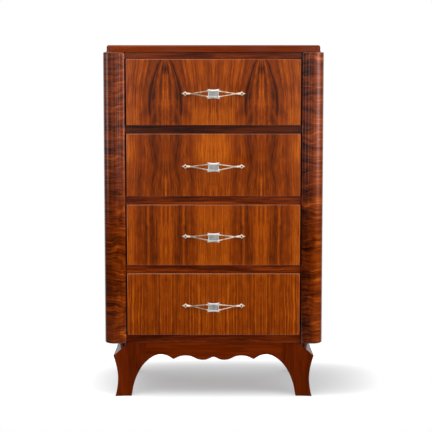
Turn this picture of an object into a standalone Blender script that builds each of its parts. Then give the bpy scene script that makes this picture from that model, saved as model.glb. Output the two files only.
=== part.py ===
"""Chiffonier: four drawers between round corner posts, on a scalloped bracket base.

Metres, Z up, front towards -Y. The origin is on the floor, in the middle of the width and midway
between the front of the pulls and the back panel.
"""

import math
from collections import namedtuple

import bmesh
import bpy
from mathutils import Matrix, Vector

# Carcass
CARCASS_WIDTH = 0.650            # across the corner posts
CARCASS_DEPTH = 0.400            # front of the posts to the back panel
CARCASS_HEIGHT = 0.865           # its underside to the underside of the top board
BASE_HEIGHT = 0.163              # floor to the underside of the carcass
FIT_GAP = 0.0003                 # left between pieces that rest on or fit into each other

# Top board
TOP_THICKNESS = 0.020
TOP_INSET = 0.010                # inside the posts' outer and front faces
TOP_CORNER_RADIUS = 0.014
TOP_EDGE_ROUND = 0.004

# Corner posts
POST_WIDTH = 0.0655
POST_DEPTH = 0.056
POST_PROUD = 0.005               # in front of the drawer fronts
POST_ROUND_WIDTH = 0.030         # rounding of the outer front corner, across
POST_ROUND_DEPTH = 0.036         # the same rounding, front to back
POST_INNER_ROUND = 0.005
POST_END_ROUND = 0.003

# Rails between the posts
RAIL_DEPTH = 0.070
RAIL_SETBACK = 0.015             # behind the drawer fronts
TOP_RAIL_HEIGHT = 0.0194
DIVIDER_HEIGHT = 0.023
BOTTOM_RAIL_HEIGHT = 0.0253
RAIL_TENON_LENGTH = 0.012
RAIL_TENON_DEPTH = 0.020
RAIL_TENON_HEIGHT = 0.010

# Panels
SIDE_THICKNESS = 0.018
SIDE_INSET = 0.010               # inside the posts' outer faces
SIDE_TONGUE_LENGTH = 0.008
SIDE_TONGUE_THICKNESS = 0.008
BACK_THICKNESS = 0.008
BACK_LAP = 0.009                 # how far the back reaches into each side's rabbet
BOTTOM_THICKNESS = 0.018

# Drawer runners
RUNNER_GUIDE_RISE = 0.015        # guide above the ledge
RUNNER_LEDGE_REACH = 0.004       # ledge past the drawer side's inner face

# Drawers
DRAWER_GRADING = (0.0085, 0.0, -0.004, 0.0)  # each front taller than a plain one, top to bottom
DRAWER_FRONT_THICKNESS = 0.022
DRAWER_FRONT_ROUND = 0.002
DRAWER_SIDE_GAP = 0.003          # front to post, each side
DRAWER_GAP_BELOW = 0.0010
DRAWER_GAP_ABOVE = 0.0012
DRAWER_SIDE_THICKNESS = 0.011
DRAWER_SIDE_DROP = 0.012         # sides below the top of the front
DRAWER_BACK_THICKNESS = 0.010
DRAWER_BACK_DROP = 0.006         # back below the top of the sides
DRAWER_BACK_INSET = 0.008        # sides run on behind the back
DRAWER_BACK_HOUSING = 0.004      # back let into each side
DRAWER_BOTTOM_THICKNESS = 0.005
DRAWER_BOTTOM_RISE = 0.008       # groove above the lower edge of the sides
DRAWER_GROOVE_DEPTH = 0.005
TAIL_COUNT = 4
TAIL_SHARE = 0.62                # of each tail's spacing, at its wide end
TAIL_SLOPE = 1 / 7
TAIL_LAP = 0.008                 # wood in front of the tails

# Pulls
PULL_SPAN = 0.166                # between screw centres
PULL_DROP = 0.004                # below the middle of the front
PULL_REACH = 0.034               # front of the plaque from the drawer front
PLAQUE_WIDTH = 0.036
PLAQUE_HEIGHT = 0.028
PLAQUE_THICKNESS = 0.006
PLAQUE_WAIST = 0.0018            # how far each edge curves in between the corners
PLAQUE_BEVEL = 0.0016
PLAQUE_PANEL_MARGIN = 0.0045     # sunk panel inside the waist of each edge
PLAQUE_PANEL_DEPTH = 0.0012
ARM_RADIUS = 0.0019
ARM_SPREAD = 0.0085              # arms above and below the middle at the plaque
ARM_OVERLAP = 0.002              # arms run this far into what they join
PULL_END_REACH = 0.0115          # tip of the end past the screw centre
PULL_END_HALF_HEIGHT = 0.0075
PULL_END_THICKNESS = 0.0065
PULL_END_TAPER = 0.55            # outer face of the end against its seat
PULL_BAR_LENGTH = 0.017          # screw centre to the fork of the arms
PULL_BAR_START = 0.0045          # bar starts clear of the screw
PULL_BAR_RADIUS = 0.0032
PULL_FORK_HEIGHT = 0.0075        # fork in front of the drawer front

# Screws of the pulls
SCREW_HEAD_RADIUS = 0.0021
SCREW_HEAD_HEIGHT = 0.0014
SCREW_SHANK_RADIUS = 0.0014
SCREW_LENGTH = 0.016             # under the head
SCREW_POINT_LENGTH = 0.004
SCREW_HEAD_SINK = 0.0016         # depth of the seat in the pull's end
SCREW_CROWN = 0.0006

# Base
BASE_SIDE_INSET = 0.040          # side aprons inside the posts' outer faces
BASE_SETBACK = 0.002             # front apron behind the rails
BASE_BACK_INSET = 0.010
APRON_THICKNESS = 0.022
APRON_DEPTH = 0.036              # apron above the top of its arch
APRON_TENON_LENGTH = 0.012
APRON_TENON_THICKNESS = 0.008
APRON_TENON_SHOULDER = 0.007
LEG_WING = 0.082                 # from the apron's face round the corner to the leg's joint
FOOT_WIDTH = 0.0485
TOE_OUTSET = 0.010               # outside the apron's face
ANKLE_OUTSET = 0.002
ANKLE_HEIGHT = 0.055
KNEE_OUTSET = 0.0155
KNEE_DROP = 0.038                # knee below the top of the leg
CORNER_CANT = 0.027              # cut across the corner at the top of the leg
LEG_ARRIS = 0.0015
LEG_INNER_STEP = 0.004           # wings thinner than the foot
OUTSET_FORWARD_SHARE = 0.5       # part of the outset that shows from the side
KNEE_SWELL = 1.8                 # how late the swelling from ankle to knee comes
CANT_HOLLOW = 2.5                # how hollow the leg is above the knee
ARCH_RISE = 0.0227               # leg joint to the top of the arch
ARCH_REACH = 0.043               # the same, sideways
ARCH_SHOULDER = 0.025            # length of the 45 degree tangent at the joint
FOOT_SWEEP_IN = 0.0055
FOOT_SWEEP_UP = 0.040

# Scallops of the front apron: place as a share of the distance from the middle to the top of the
# arch, and depth below the top of the arch
CUSP_PLACE = 0.752
CUSP_DROP = 0.0145
SMALL_ARCH_PLACE = 0.521
SMALL_ARCH_DROP = 0.004
LOBE_PLACE = 0.193
LOBE_DROP = 0.017
NOTCH_DROP = 0.008

# Facets of curved shapes
ARC_STEPS = 8
BEZIER_STEPS = 6
ROUND_SEGMENTS = 2
ROUND_PROFILE = 0.5              # a quarter circle
SCREW_STEPS = 10
ARM_SIDES = 8
BAR_SIDES = 10
EASE_STEPS = 3
SMOOTH_ANGLE = 0.65              # radians; sharper edges keep a crease
FLAT_ANGLE = 0.001               # radians; flatter faces become one
WELD_DISTANCE = 0.00001
CUT_MARGIN = 0.010               # cutters run this far past the wood

# Derived places
HALF_WIDTH = CARCASS_WIDTH / 2
OVERALL_DEPTH = CARCASS_DEPTH - POST_PROUD + PULL_REACH
FACE_Y = -OVERALL_DEPTH / 2 + PULL_REACH
POST_FRONT_Y = FACE_Y - POST_PROUD
POST_BACK_Y = POST_FRONT_Y + POST_DEPTH
BACK_Y = POST_FRONT_Y + CARCASS_DEPTH
BACK_PANEL_Y = BACK_Y - BACK_THICKNESS
RAIL_FRONT_Y = FACE_Y + RAIL_SETBACK
RAIL_BACK_Y = RAIL_FRONT_Y + RAIL_DEPTH
OPENING_HALF = HALF_WIDTH - POST_WIDTH
SIDE_OUTER = HALF_WIDTH - SIDE_INSET
SIDE_INNER = SIDE_OUTER - SIDE_THICKNESS

DRAWER_HALF = OPENING_HALF - DRAWER_SIDE_GAP
DRAWER_INNER = DRAWER_HALF - DRAWER_SIDE_THICKNESS
FRONT_BACK_Y = FACE_Y + DRAWER_FRONT_THICKNESS
DRAWER_REAR_Y = BACK_PANEL_Y - FIT_GAP

BASE_FRONT_Y = RAIL_FRONT_Y + BASE_SETBACK
BASE_BACK_Y = BACK_Y - BASE_BACK_INSET
BASE_MID_Y = (BASE_FRONT_Y + BASE_BACK_Y) / 2
BASE_HALF_WIDTH = HALF_WIDTH - BASE_SIDE_INSET
BASE_HALF_DEPTH = (BASE_BACK_Y - BASE_FRONT_Y) / 2
BASE_TOP = BASE_HEIGHT - FIT_GAP
KNEE_HEIGHT = BASE_TOP - KNEE_DROP
ARCH_HEIGHT = BASE_TOP - APRON_DEPTH
JOINT_HEIGHT = ARCH_HEIGHT - ARCH_RISE
LEG_THICKNESS = FOOT_WIDTH - TOE_OUTSET - LEG_INNER_STEP

Level = namedtuple("Level", "number shelf bottom top above")


def drawer_front_heights():
    """The fronts and their gaps fill the carcass between the rails, each front by its grading."""
    count = len(DRAWER_GRADING)
    rails = TOP_RAIL_HEIGHT + (count - 1) * DIVIDER_HEIGHT + BOTTOM_RAIL_HEIGHT
    gaps = count * (DRAWER_GAP_BELOW + DRAWER_GAP_ABOVE)
    plain = (CARCASS_HEIGHT - rails - gaps - sum(DRAWER_GRADING)) / count
    return [plain + taller for taller in DRAWER_GRADING]


def drawer_levels():
    """Heights of each drawer, counted from the top: shelf it runs on, front's edges, rail above."""
    levels = []
    heights = drawer_front_heights()
    shelf = BASE_HEIGHT + BOTTOM_RAIL_HEIGHT
    for number in range(len(heights), 0, -1):
        bottom = shelf + DRAWER_GAP_BELOW
        top = bottom + heights[number - 1]
        above = top + DRAWER_GAP_ABOVE
        levels.insert(0, Level(number, shelf, bottom, top, above))
        shelf = above + DIVIDER_HEIGHT
    return levels


LEVELS = drawer_levels()
CARCASS_TOP = BASE_HEIGHT + CARCASS_HEIGHT

# Turns that lay a flat outline (u, v) and its thickness along the model's axes
FACING_UP = Matrix.Identity(4)
FACING_FRONT = Matrix(((1, 0, 0, 0), (0, 0, -1, 0), (0, 1, 0, 0), (0, 0, 0, 1)))
FACING_SIDE = Matrix(((0, 0, 1, 0), (1, 0, 0, 0), (0, 1, 0, 0), (0, 0, 0, 1)))


def clear_scene():
    for old in list(bpy.data.objects):
        bpy.data.objects.remove(old)


def new_collection(name):
    collection = bpy.data.collections.new(name)
    bpy.context.scene.collection.children.link(collection)
    return collection


def new_material(name, colour, roughness, metallic=0.0):
    material = bpy.data.materials.new(name)
    material.use_nodes = True
    shader = material.node_tree.nodes["Principled BSDF"]
    shader.inputs["Base Color"].default_value = (*colour, 1.0)
    shader.inputs["Roughness"].default_value = roughness
    shader.inputs["Metallic"].default_value = metallic
    material.diffuse_color = (*colour, 1.0)
    return material


clear_scene()
PARTS = new_collection("chiffonier")
CUTTERS = new_collection("chiffonier_cutters")
FRONT_VENEER = new_material("front_veneer", (0.21, 0.042, 0.007), 0.25)
POST_VENEER = new_material("post_veneer", (0.085, 0.019, 0.007), 0.2)
CASE_WOOD = new_material("case_wood", (0.120, 0.018, 0.004), 0.3)
DRAWER_WOOD = new_material("drawer_wood", (0.48, 0.30, 0.15), 0.55)
PANEL_WOOD = new_material("panel_wood", (0.36, 0.20, 0.09), 0.6)
NICKEL = new_material("nickel", (0.72, 0.71, 0.68), 0.2, 1.0)
SCREW_STEEL = new_material("screw_steel", (0.20, 0.19, 0.18), 0.4, 1.0)


def place(name, mesh, location, material):
    """A named part made from a mesh."""
    part = bpy.data.objects.new(name, mesh)
    part.location = location
    mesh.materials.clear()
    mesh.materials.append(material)
    PARTS.objects.link(part)
    return part


def cutter(name, mesh, location=(0, 0, 0)):
    """A hidden shape that other parts are cut by or joined with."""
    helper = bpy.data.objects.new(name, mesh)
    helper.location = location
    helper.hide_render = True
    helper.display_type = "WIRE"
    CUTTERS.objects.link(helper)
    return helper


def boolean(part, other, operation):
    modifier = part.modifiers.new(f"{operation.lower()}_{other.name}", "BOOLEAN")
    modifier.operation = operation
    modifier.solver = "EXACT"
    modifier.object = other


def cut(part, other):
    boolean(part, other, "DIFFERENCE")


def join(part, other):
    boolean(part, other, "UNION")


def middle(low, high):
    return [(a + b) / 2 for a, b in zip(low, high)]


def box_mesh(name, low, high):
    """A box between two corners, centred on its own origin."""
    mesh = bpy.data.meshes.new(name)
    shape = bmesh.new()
    bmesh.ops.create_cube(shape, size=1)
    bmesh.ops.scale(shape, vec=[b - a for a, b in zip(low, high)], verts=shape.verts)
    shape.to_mesh(mesh)
    shape.free()
    return mesh


def box(name, low, high, material):
    return place(name, box_mesh(name, low, high), middle(low, high), material)


def box_cutter(name, low, high):
    return cutter(name, box_mesh(name, low, high), middle(low, high))


def grown(low, high):
    """The corners of a box with the fitting gap added all round."""
    return [a - FIT_GAP for a in low], [b + FIT_GAP for b in high]


def round_edges(mesh, radius, wanted):
    """Rounds the edges of a mesh whose two ends both satisfy wanted(point)."""
    shape = bmesh.new()
    shape.from_mesh(mesh)
    edges = [edge for edge in shape.edges if all(wanted(vert.co) for vert in edge.verts)]
    bmesh.ops.bevel(
        shape, geom=edges, offset=radius, segments=ROUND_SEGMENTS, profile=ROUND_PROFILE, affect="EDGES"
    )
    shape.to_mesh(mesh)
    shape.free()


def evaluated_mesh(source, name):
    """The finished mesh of an object with its modifiers or its curve, caps welded on."""
    bpy.context.view_layer.update()
    mesh = bpy.data.meshes.new_from_object(source.evaluated_get(bpy.context.evaluated_depsgraph_get()))
    mesh.name = name
    shape = bmesh.new()
    shape.from_mesh(mesh)
    bmesh.ops.remove_doubles(shape, verts=shape.verts, dist=WELD_DISTANCE)
    bmesh.ops.dissolve_limit(shape, angle_limit=FLAT_ANGLE, verts=shape.verts, edges=shape.edges)
    bmesh.ops.recalc_face_normals(shape, faces=shape.faces)
    shape.to_mesh(mesh)
    shape.free()
    return mesh


def prism_mesh(name, outlines, thickness, turn):
    """Flat outlines given a thickness, centred on their plane, then turned to face along an axis."""
    curve = bpy.data.curves.new(name, "CURVE")
    curve.dimensions = "2D"
    curve.fill_mode = "BOTH"
    curve.extrude = thickness / 2
    for outline in outlines:
        spline = curve.splines.new("POLY")
        spline.points.add(len(outline) - 1)
        for point, (u, v) in zip(spline.points, outline):
            point.co = (u, v, 0, 1)
        spline.use_cyclic_u = True
    drawn = bpy.data.objects.new(name, curve)
    CUTTERS.objects.link(drawn)
    mesh = evaluated_mesh(drawn, name)
    bpy.data.objects.remove(drawn)
    mesh.transform(turn)
    return mesh


def arc(centre, radii, start, end, steps=ARC_STEPS):
    """Points on part of an ellipse, angles in degrees."""
    points = []
    for step in range(steps + 1):
        angle = math.radians(start + (end - start) * step / steps)
        points.append((centre[0] + radii[0] * math.cos(angle), centre[1] + radii[1] * math.sin(angle)))
    return points


def bezier(start, first, second, end, steps=BEZIER_STEPS):
    """Points on a cubic curve, both ends included."""
    points = []
    for step in range(steps + 1):
        t = step / steps
        weights = ((1 - t) ** 3, 3 * t * (1 - t) ** 2, 3 * t * t * (1 - t), t ** 3)
        corners = (start, first, second, end)
        points.append(tuple(sum(w * p[i] for w, p in zip(weights, corners)) for i in range(2)))
    return points


def make_top_board():
    """Board with rounded front corners, resting on the posts, sides, back and top rail."""
    half = HALF_WIDTH - TOP_INSET
    front = POST_FRONT_Y + TOP_INSET
    radius = TOP_CORNER_RADIUS
    corners = (radius, radius)
    outline = [(half, BACK_Y), (-half, BACK_Y)]
    outline += arc((-half + radius, front + radius), corners, 180, 270)
    outline += arc((half - radius, front + radius), corners, 270, 360)
    mesh = prism_mesh("top_board", [outline], TOP_THICKNESS, FACING_UP)
    top = TOP_THICKNESS / 2
    round_edges(mesh, TOP_EDGE_ROUND, lambda point: point.z > top - FIT_GAP)
    place("top_board", mesh, (0, 0, CARCASS_TOP + FIT_GAP + top), CASE_WOOD)


def post_outline(side):
    """Plan of a corner post: round outer front corner, eased inner corner, flat back."""
    inner, outer = OPENING_HALF, HALF_WIDTH
    round_centre = (outer - POST_ROUND_WIDTH, POST_FRONT_Y + POST_ROUND_DEPTH)
    ease_centre = (inner + POST_INNER_ROUND, POST_FRONT_Y + POST_INNER_ROUND)
    points = [(outer, POST_BACK_Y), (inner, POST_BACK_Y)]
    points += arc(ease_centre, (POST_INNER_ROUND, POST_INNER_ROUND), 180, 270, EASE_STEPS)
    points += arc(round_centre, (POST_ROUND_WIDTH, POST_ROUND_DEPTH), 270, 360)
    return [(side * x, y) for x, y in points]


def side_tongue(side):
    """Tongue on the front edge of a side panel, let into the back of the post."""
    centre = SIDE_OUTER - SIDE_THICKNESS / 2
    reach = sorted(side * (centre + d * SIDE_TONGUE_THICKNESS / 2) for d in (-1, 1))
    low = (reach[0], POST_BACK_Y - SIDE_TONGUE_LENGTH, BASE_HEIGHT)
    high = (reach[1], POST_BACK_Y + FIT_GAP + CUT_MARGIN, CARCASS_TOP)
    return low, high


def rail_tenon(side, bottom, height):
    """Tenon on one end of a rail, let into the post."""
    reach = sorted((side * (OPENING_HALF - CUT_MARGIN), side * (OPENING_HALF + RAIL_TENON_LENGTH)))
    y = (RAIL_FRONT_Y + POST_BACK_Y) / 2
    z = bottom + height / 2
    low = (reach[0], y - RAIL_TENON_DEPTH / 2, z - RAIL_TENON_HEIGHT / 2)
    high = (reach[1], y + RAIL_TENON_DEPTH / 2, z + RAIL_TENON_HEIGHT / 2)
    return low, high


def rail_heights():
    """Name, lower edge and height of each rail, from the top."""
    rails = [("top_rail", LEVELS[0].above, TOP_RAIL_HEIGHT)]
    for level in LEVELS[:-1]:
        rails.append((f"divider_rail_{level.number}", level.shelf - DIVIDER_HEIGHT, DIVIDER_HEIGHT))
    rails.append(("bottom_rail", BASE_HEIGHT, BOTTOM_RAIL_HEIGHT))
    return rails


def make_posts_and_rails():
    posts = {}
    for word, side in (("left", -1), ("right", 1)):
        name = f"{word}_corner_post"
        height = CARCASS_TOP - BASE_HEIGHT
        mesh = prism_mesh(name, [post_outline(side)], height, FACING_UP)
        round_edges(mesh, POST_END_ROUND, lambda point: point.z > height / 2 - FIT_GAP)
        round_edges(mesh, POST_END_ROUND, lambda point: point.z < FIT_GAP - height / 2)
        post = place(name, mesh, (0, 0, (CARCASS_TOP + BASE_HEIGHT) / 2), POST_VENEER)
        low, high = side_tongue(side)
        low = (low[0], low[1], low[2] - CUT_MARGIN)
        high = (high[0], high[1], high[2] + CUT_MARGIN)
        cut(post, box_cutter(f"{word}_tongue_groove", *grown(low, high)))
        posts[side] = post
    for name, bottom, height in rail_heights():
        half = OPENING_HALF - FIT_GAP
        rail = box(name, (-half, RAIL_FRONT_Y, bottom), (half, RAIL_BACK_Y, bottom + height), CASE_WOOD)
        for word, side in (("left", -1), ("right", 1)):
            tenon = rail_tenon(side, bottom, height)
            join(rail, box_cutter(f"{name}_{word}_tenon", *tenon))
            cut(posts[side], box_cutter(f"{name}_{word}_mortise", *grown(*tenon)))


def make_panels():
    """Side panels with a tongue and a back rabbet, the back panel and the bottom board."""
    lap = SIDE_INNER + BACK_LAP
    rabbet_low = (-lap, BACK_PANEL_Y, BASE_HEIGHT - CUT_MARGIN)
    rabbet_high = (lap, BACK_Y + CUT_MARGIN, CARCASS_TOP + CUT_MARGIN)
    rabbet = box_cutter("back_rabbet", *grown(rabbet_low, rabbet_high))
    for word, side in (("left", -1), ("right", 1)):
        reach = sorted((side * SIDE_INNER, side * SIDE_OUTER))
        low = (reach[0], POST_BACK_Y + FIT_GAP, BASE_HEIGHT)
        panel = box(f"{word}_side_panel", low, (reach[1], BACK_Y, CARCASS_TOP), CASE_WOOD)
        cut(panel, rabbet)
        join(panel, box_cutter(f"{word}_tongue", *side_tongue(side)))
    box("back_panel", (-lap, BACK_PANEL_Y, BASE_HEIGHT), (lap, BACK_Y, CARCASS_TOP), PANEL_WOOD)
    half = SIDE_INNER - FIT_GAP
    low = (-half, RAIL_BACK_Y + FIT_GAP, BASE_HEIGHT)
    high = (half, BACK_PANEL_Y - FIT_GAP, BASE_HEIGHT + BOTTOM_THICKNESS)
    box("bottom_board", low, high, PANEL_WOOD)


def make_runners():
    """Rabbeted strips on the side panels: a ledge level with the rail and a guide beside the drawer."""
    length = BACK_PANEL_Y - RAIL_BACK_Y - 2 * FIT_GAP
    ledge_edge = DRAWER_INNER - RUNNER_LEDGE_REACH
    wall = SIDE_INNER - FIT_GAP
    for level in LEVELS:
        foot = level.shelf - DIVIDER_HEIGHT
        if level is LEVELS[-1]:
            foot = BASE_HEIGHT + BOTTOM_THICKNESS + FIT_GAP
        guide_top = level.shelf + RUNNER_GUIDE_RISE
        outline = [(ledge_edge, foot), (wall, foot), (wall, guide_top), (OPENING_HALF, guide_top)]
        outline += [(OPENING_HALF, level.shelf), (ledge_edge, level.shelf)]
        for word, side in (("left", -1), ("right", 1)):
            name = f"{word}_runner_{level.number}"
            mesh = prism_mesh(name, [[(side * x, z) for x, z in outline]], length, FACING_FRONT)
            place(name, mesh, (0, (RAIL_BACK_Y + BACK_PANEL_Y) / 2, 0), DRAWER_WOOD)


def leg_outset(height):
    """How far the leg's outer corner stands outside the apron's face: toe, ankle, knee, top."""
    if height < ANKLE_HEIGHT:
        return ANKLE_OUTSET + (TOE_OUTSET - ANKLE_OUTSET) * (1 - height / ANKLE_HEIGHT) ** 2
    if height < KNEE_HEIGHT:
        share = (height - ANKLE_HEIGHT) / (KNEE_HEIGHT - ANKLE_HEIGHT)
        return ANKLE_OUTSET + (KNEE_OUTSET - ANKLE_OUTSET) * share ** KNEE_SWELL
    share = (height - KNEE_HEIGHT) / (BASE_TOP - KNEE_HEIGHT)
    return KNEE_OUTSET * (1 - share) ** CANT_HOLLOW


def leg_cant(height):
    """Width of the flat across the leg's outer corner, which opens from the knee to the top."""
    if height <= KNEE_HEIGHT:
        return LEG_ARRIS
    share = (height - KNEE_HEIGHT) / (BASE_TOP - KNEE_HEIGHT)
    edge = KNEE_OUTSET - LEG_ARRIS + (LEG_ARRIS - CORNER_CANT - KNEE_OUTSET) * share
    return leg_outset(height) - edge


def leg_stations():
    """Heights of the leg's sections and the length of its wings there, behind the apron's face."""
    foot = FOOT_WIDTH - TOE_OUTSET
    bend = LEG_WING - ARCH_SHOULDER
    stations = bezier(
        (foot, 0),
        (foot + FOOT_SWEEP_IN, FOOT_SWEEP_UP),
        (bend, JOINT_HEIGHT - ARCH_SHOULDER),
        (LEG_WING, JOINT_HEIGHT),
        steps=2 * BEZIER_STEPS,
    )
    steps = BEZIER_STEPS
    for step in range(1, steps):
        stations.append((LEG_WING, JOINT_HEIGHT + (KNEE_HEIGHT - JOINT_HEIGHT) * step / steps))
    for step in range(steps + 1):
        stations.append((LEG_WING, KNEE_HEIGHT + (BASE_TOP - KNEE_HEIGHT) * step / steps))
    return stations


def leg_section(wing, height):
    """L-shaped plan of a leg, measured outwards from where the apron faces would cross."""
    out = leg_outset(height)
    forward = out * OUTSET_FORWARD_SHARE
    cant = leg_cant(height)
    inside = -LEG_THICKNESS
    return [
        (-wing, 0),
        (out - cant, forward),
        (out, forward - cant),
        (0, -wing),
        (inside, -wing),
        (inside, inside),
        (-wing, inside),
    ]


def leg_mesh(name, side, end):
    """Loft through the L-shaped sections, from the floor to the underside of the carcass."""
    shape = bmesh.new()
    rings = []
    for wing, height in leg_stations():
        ring = [shape.verts.new((side * u, end * v, height)) for u, v in leg_section(wing, height)]
        rings.append(ring)
    for lower, upper in zip(rings, rings[1:]):
        for i in range(len(lower)):
            j = (i + 1) % len(lower)
            shape.faces.new((lower[i], lower[j], upper[j], upper[i]))
    shape.faces.new(rings[0])
    shape.faces.new(rings[-1])
    bmesh.ops.recalc_face_normals(shape, faces=shape.faces)
    mesh = bpy.data.meshes.new(name)
    shape.to_mesh(mesh)
    shape.free()
    mesh.shade_smooth()
    mesh.set_sharp_from_angle(angle=SMOOTH_ANGLE)
    return mesh


def apron_arch(half):
    """Lower edge of one half of an apron, from the leg's joint to the top of the arch."""
    joint = (half, JOINT_HEIGHT)
    shoulder = ARCH_SHOULDER / 2
    top = (half - ARCH_REACH, ARCH_HEIGHT)
    lead = (top[0] + ARCH_REACH / 3, ARCH_HEIGHT)
    return bezier(joint, (half - shoulder, JOINT_HEIGHT + shoulder), lead, top)


def scallops(half):
    """Lower edge of one half of the front apron: arch, cusp, small arch, lobe and centre notch."""
    span = half - ARCH_REACH
    top = (span, ARCH_HEIGHT)
    cusp = (span * CUSP_PLACE, ARCH_HEIGHT - CUSP_DROP)
    small = (span * SMALL_ARCH_PLACE, ARCH_HEIGHT - SMALL_ARCH_DROP)
    lobe = (span * LOBE_PLACE, ARCH_HEIGHT - LOBE_DROP)
    notch = (0, ARCH_HEIGHT - NOTCH_DROP)
    points = apron_arch(half)
    points += curve_down(top, cusp)[1:]
    points += curve_down(small, cusp)[-2::-1]
    reach = (small[0] - lobe[0]) / 2
    points += bezier(small, (small[0] - reach, small[1]), (lobe[0] + reach, lobe[1]), lobe)[1:]
    points += bezier(lobe, (lobe[0] / 2, lobe[1]), (lobe[0] / 4, notch[1]), notch)[1:]
    return points


def curve_down(top, point):
    """From a level crown down to a sharp point."""
    run = point[0] - top[0]
    fall = point[1] - top[1]
    return bezier(top, (top[0] + run / 2, top[1]), (point[0] - run / 3, point[1] - fall / 2), point)


def make_apron(name, half, edge, turn, location, legs):
    """A board under the carcass between two legs, with a tenon into each."""
    inner = half - FIT_GAP
    right = edge(inner)
    left = [(-u, v) for u, v in right[::-1] if u > 0]
    outline = [(-inner, BASE_TOP), (inner, BASE_TOP)] + right + left
    apron = place(name, prism_mesh(name, [outline], APRON_THICKNESS, turn), location, CASE_WOOD)
    bottom, top = ARCH_HEIGHT + APRON_TENON_SHOULDER, BASE_TOP - APRON_TENON_SHOULDER
    thick = APRON_TENON_THICKNESS / 2
    for sign, leg in zip((-1, 1), legs):
        root = Vector((sign * (half - CUT_MARGIN), bottom, -thick))
        tip = Vector((sign * (half + APRON_TENON_LENGTH), top, thick))
        ends = [turn @ corner + Vector(location) for corner in (root, tip)]
        low = [min(pair) for pair in zip(*ends)]
        high = [max(pair) for pair in zip(*ends)]
        join(apron, box_cutter(f"{name}_{leg.name}_tenon", low, high))
        cut(leg, box_cutter(f"{name}_{leg.name}_mortise", *grown(low, high)))


def make_base():
    """Four bracket legs joined by aprons."""
    legs = {}
    for depth_word, end in (("front", -1), ("back", 1)):
        for side_word, side in (("left", -1), ("right", 1)):
            name = f"{depth_word}_{side_word}_leg"
            corner = (side * BASE_HALF_WIDTH, BASE_MID_Y + end * BASE_HALF_DEPTH, 0)
            legs[side, end] = place(name, leg_mesh(name, side, end), corner, CASE_WOOD)
    across = BASE_HALF_WIDTH - LEG_WING
    along = BASE_HALF_DEPTH - LEG_WING
    middle_of_board = APRON_THICKNESS / 2
    front = (0, BASE_FRONT_Y + middle_of_board, 0)
    make_apron("front_apron", across, scallops, FACING_FRONT, front, (legs[-1, -1], legs[1, -1]))
    back = (0, BASE_BACK_Y - middle_of_board, 0)
    make_apron("back_apron", across, apron_arch, FACING_FRONT, back, (legs[-1, 1], legs[1, 1]))
    for word, side in (("left", -1), ("right", 1)):
        centre = (side * (BASE_HALF_WIDTH - middle_of_board), BASE_MID_Y, 0)
        make_apron(f"{word}_apron", along, apron_arch, FACING_SIDE, centre, (legs[side, -1], legs[side, 1]))


def tail_flare(y):
    """How much the slope adds to half a tail's width at a depth, from its root at the front's back."""
    return (FRONT_BACK_Y - y) * TAIL_SLOPE


def tail_centres(level):
    """Heights of the middles of the tails, and half a tail's width at its root."""
    spacing = (level.top - DRAWER_SIDE_DROP - level.bottom) / TAIL_COUNT
    root = spacing * TAIL_SHARE / 2 - tail_flare(FACE_Y + TAIL_LAP)
    return [level.bottom + spacing * (i + 0.5) for i in range(TAIL_COUNT)], root


def drawer_side_outline(level):
    """A drawer side seen from the side, with its dovetail tails at the front."""
    low = level.shelf + FIT_GAP
    high = level.top - DRAWER_SIDE_DROP
    shoulder = FRONT_BACK_Y + FIT_GAP
    tip = FACE_Y + TAIL_LAP + FIT_GAP
    centres, root = tail_centres(level)
    points = [(shoulder, high), (DRAWER_REAR_Y, high), (DRAWER_REAR_Y, low), (shoulder, low)]
    for z in centres:
        at_root = root + tail_flare(shoulder)
        at_tip = root + tail_flare(tip)
        points += [(shoulder, z - at_root), (tip, z - at_tip), (tip, z + at_tip), (shoulder, z + at_root)]
    return points


def socket_outlines(level):
    """Sockets for the tails, open at the front's back face."""
    centres, root = tail_centres(level)
    tip = FACE_Y + TAIL_LAP
    mouth = FRONT_BACK_Y + FIT_GAP + CUT_MARGIN / 2
    outlines = []
    for z in centres:
        at_tip = root + tail_flare(tip) + FIT_GAP
        at_mouth = root + tail_flare(mouth) + FIT_GAP
        outlines.append([(mouth, z + at_mouth), (mouth, z - at_mouth), (tip, z - at_tip), (tip, z + at_tip)])
    return outlines


def pull_height(level):
    return (level.bottom + level.top) / 2 - PULL_DROP


def screw_cut(name, x, z):
    """Hole for a pull's screw in a drawer front."""
    seat = PULL_END_THICKNESS - SCREW_HEAD_SINK
    depth = SCREW_LENGTH - seat + FIT_GAP
    radius = SCREW_SHANK_RADIUS + FIT_GAP
    return rod(name, (x, FACE_Y - CUT_MARGIN, z), (x, FACE_Y + depth, z), radius, radius)


def rod_mesh(name, start, end, start_radius, end_radius, sides):
    """A straight round bar between two points, tapered if its radii differ."""
    start, end = Vector(start), Vector(end)
    line = end - start
    turn = line.to_track_quat("Z", "Y").to_matrix().to_4x4()
    mesh = bpy.data.meshes.new(name)
    shape = bmesh.new()
    bmesh.ops.create_cone(
        shape, cap_ends=True, segments=sides, radius1=start_radius, radius2=end_radius, depth=line.length
    )
    shape.transform(Matrix.Translation((start + end) / 2) @ turn)
    shape.to_mesh(mesh)
    shape.free()
    return mesh


def rod(name, start, end, start_radius, end_radius, sides=BAR_SIDES):
    return cutter(name, rod_mesh(name, start, end, start_radius, end_radius, sides))


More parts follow.
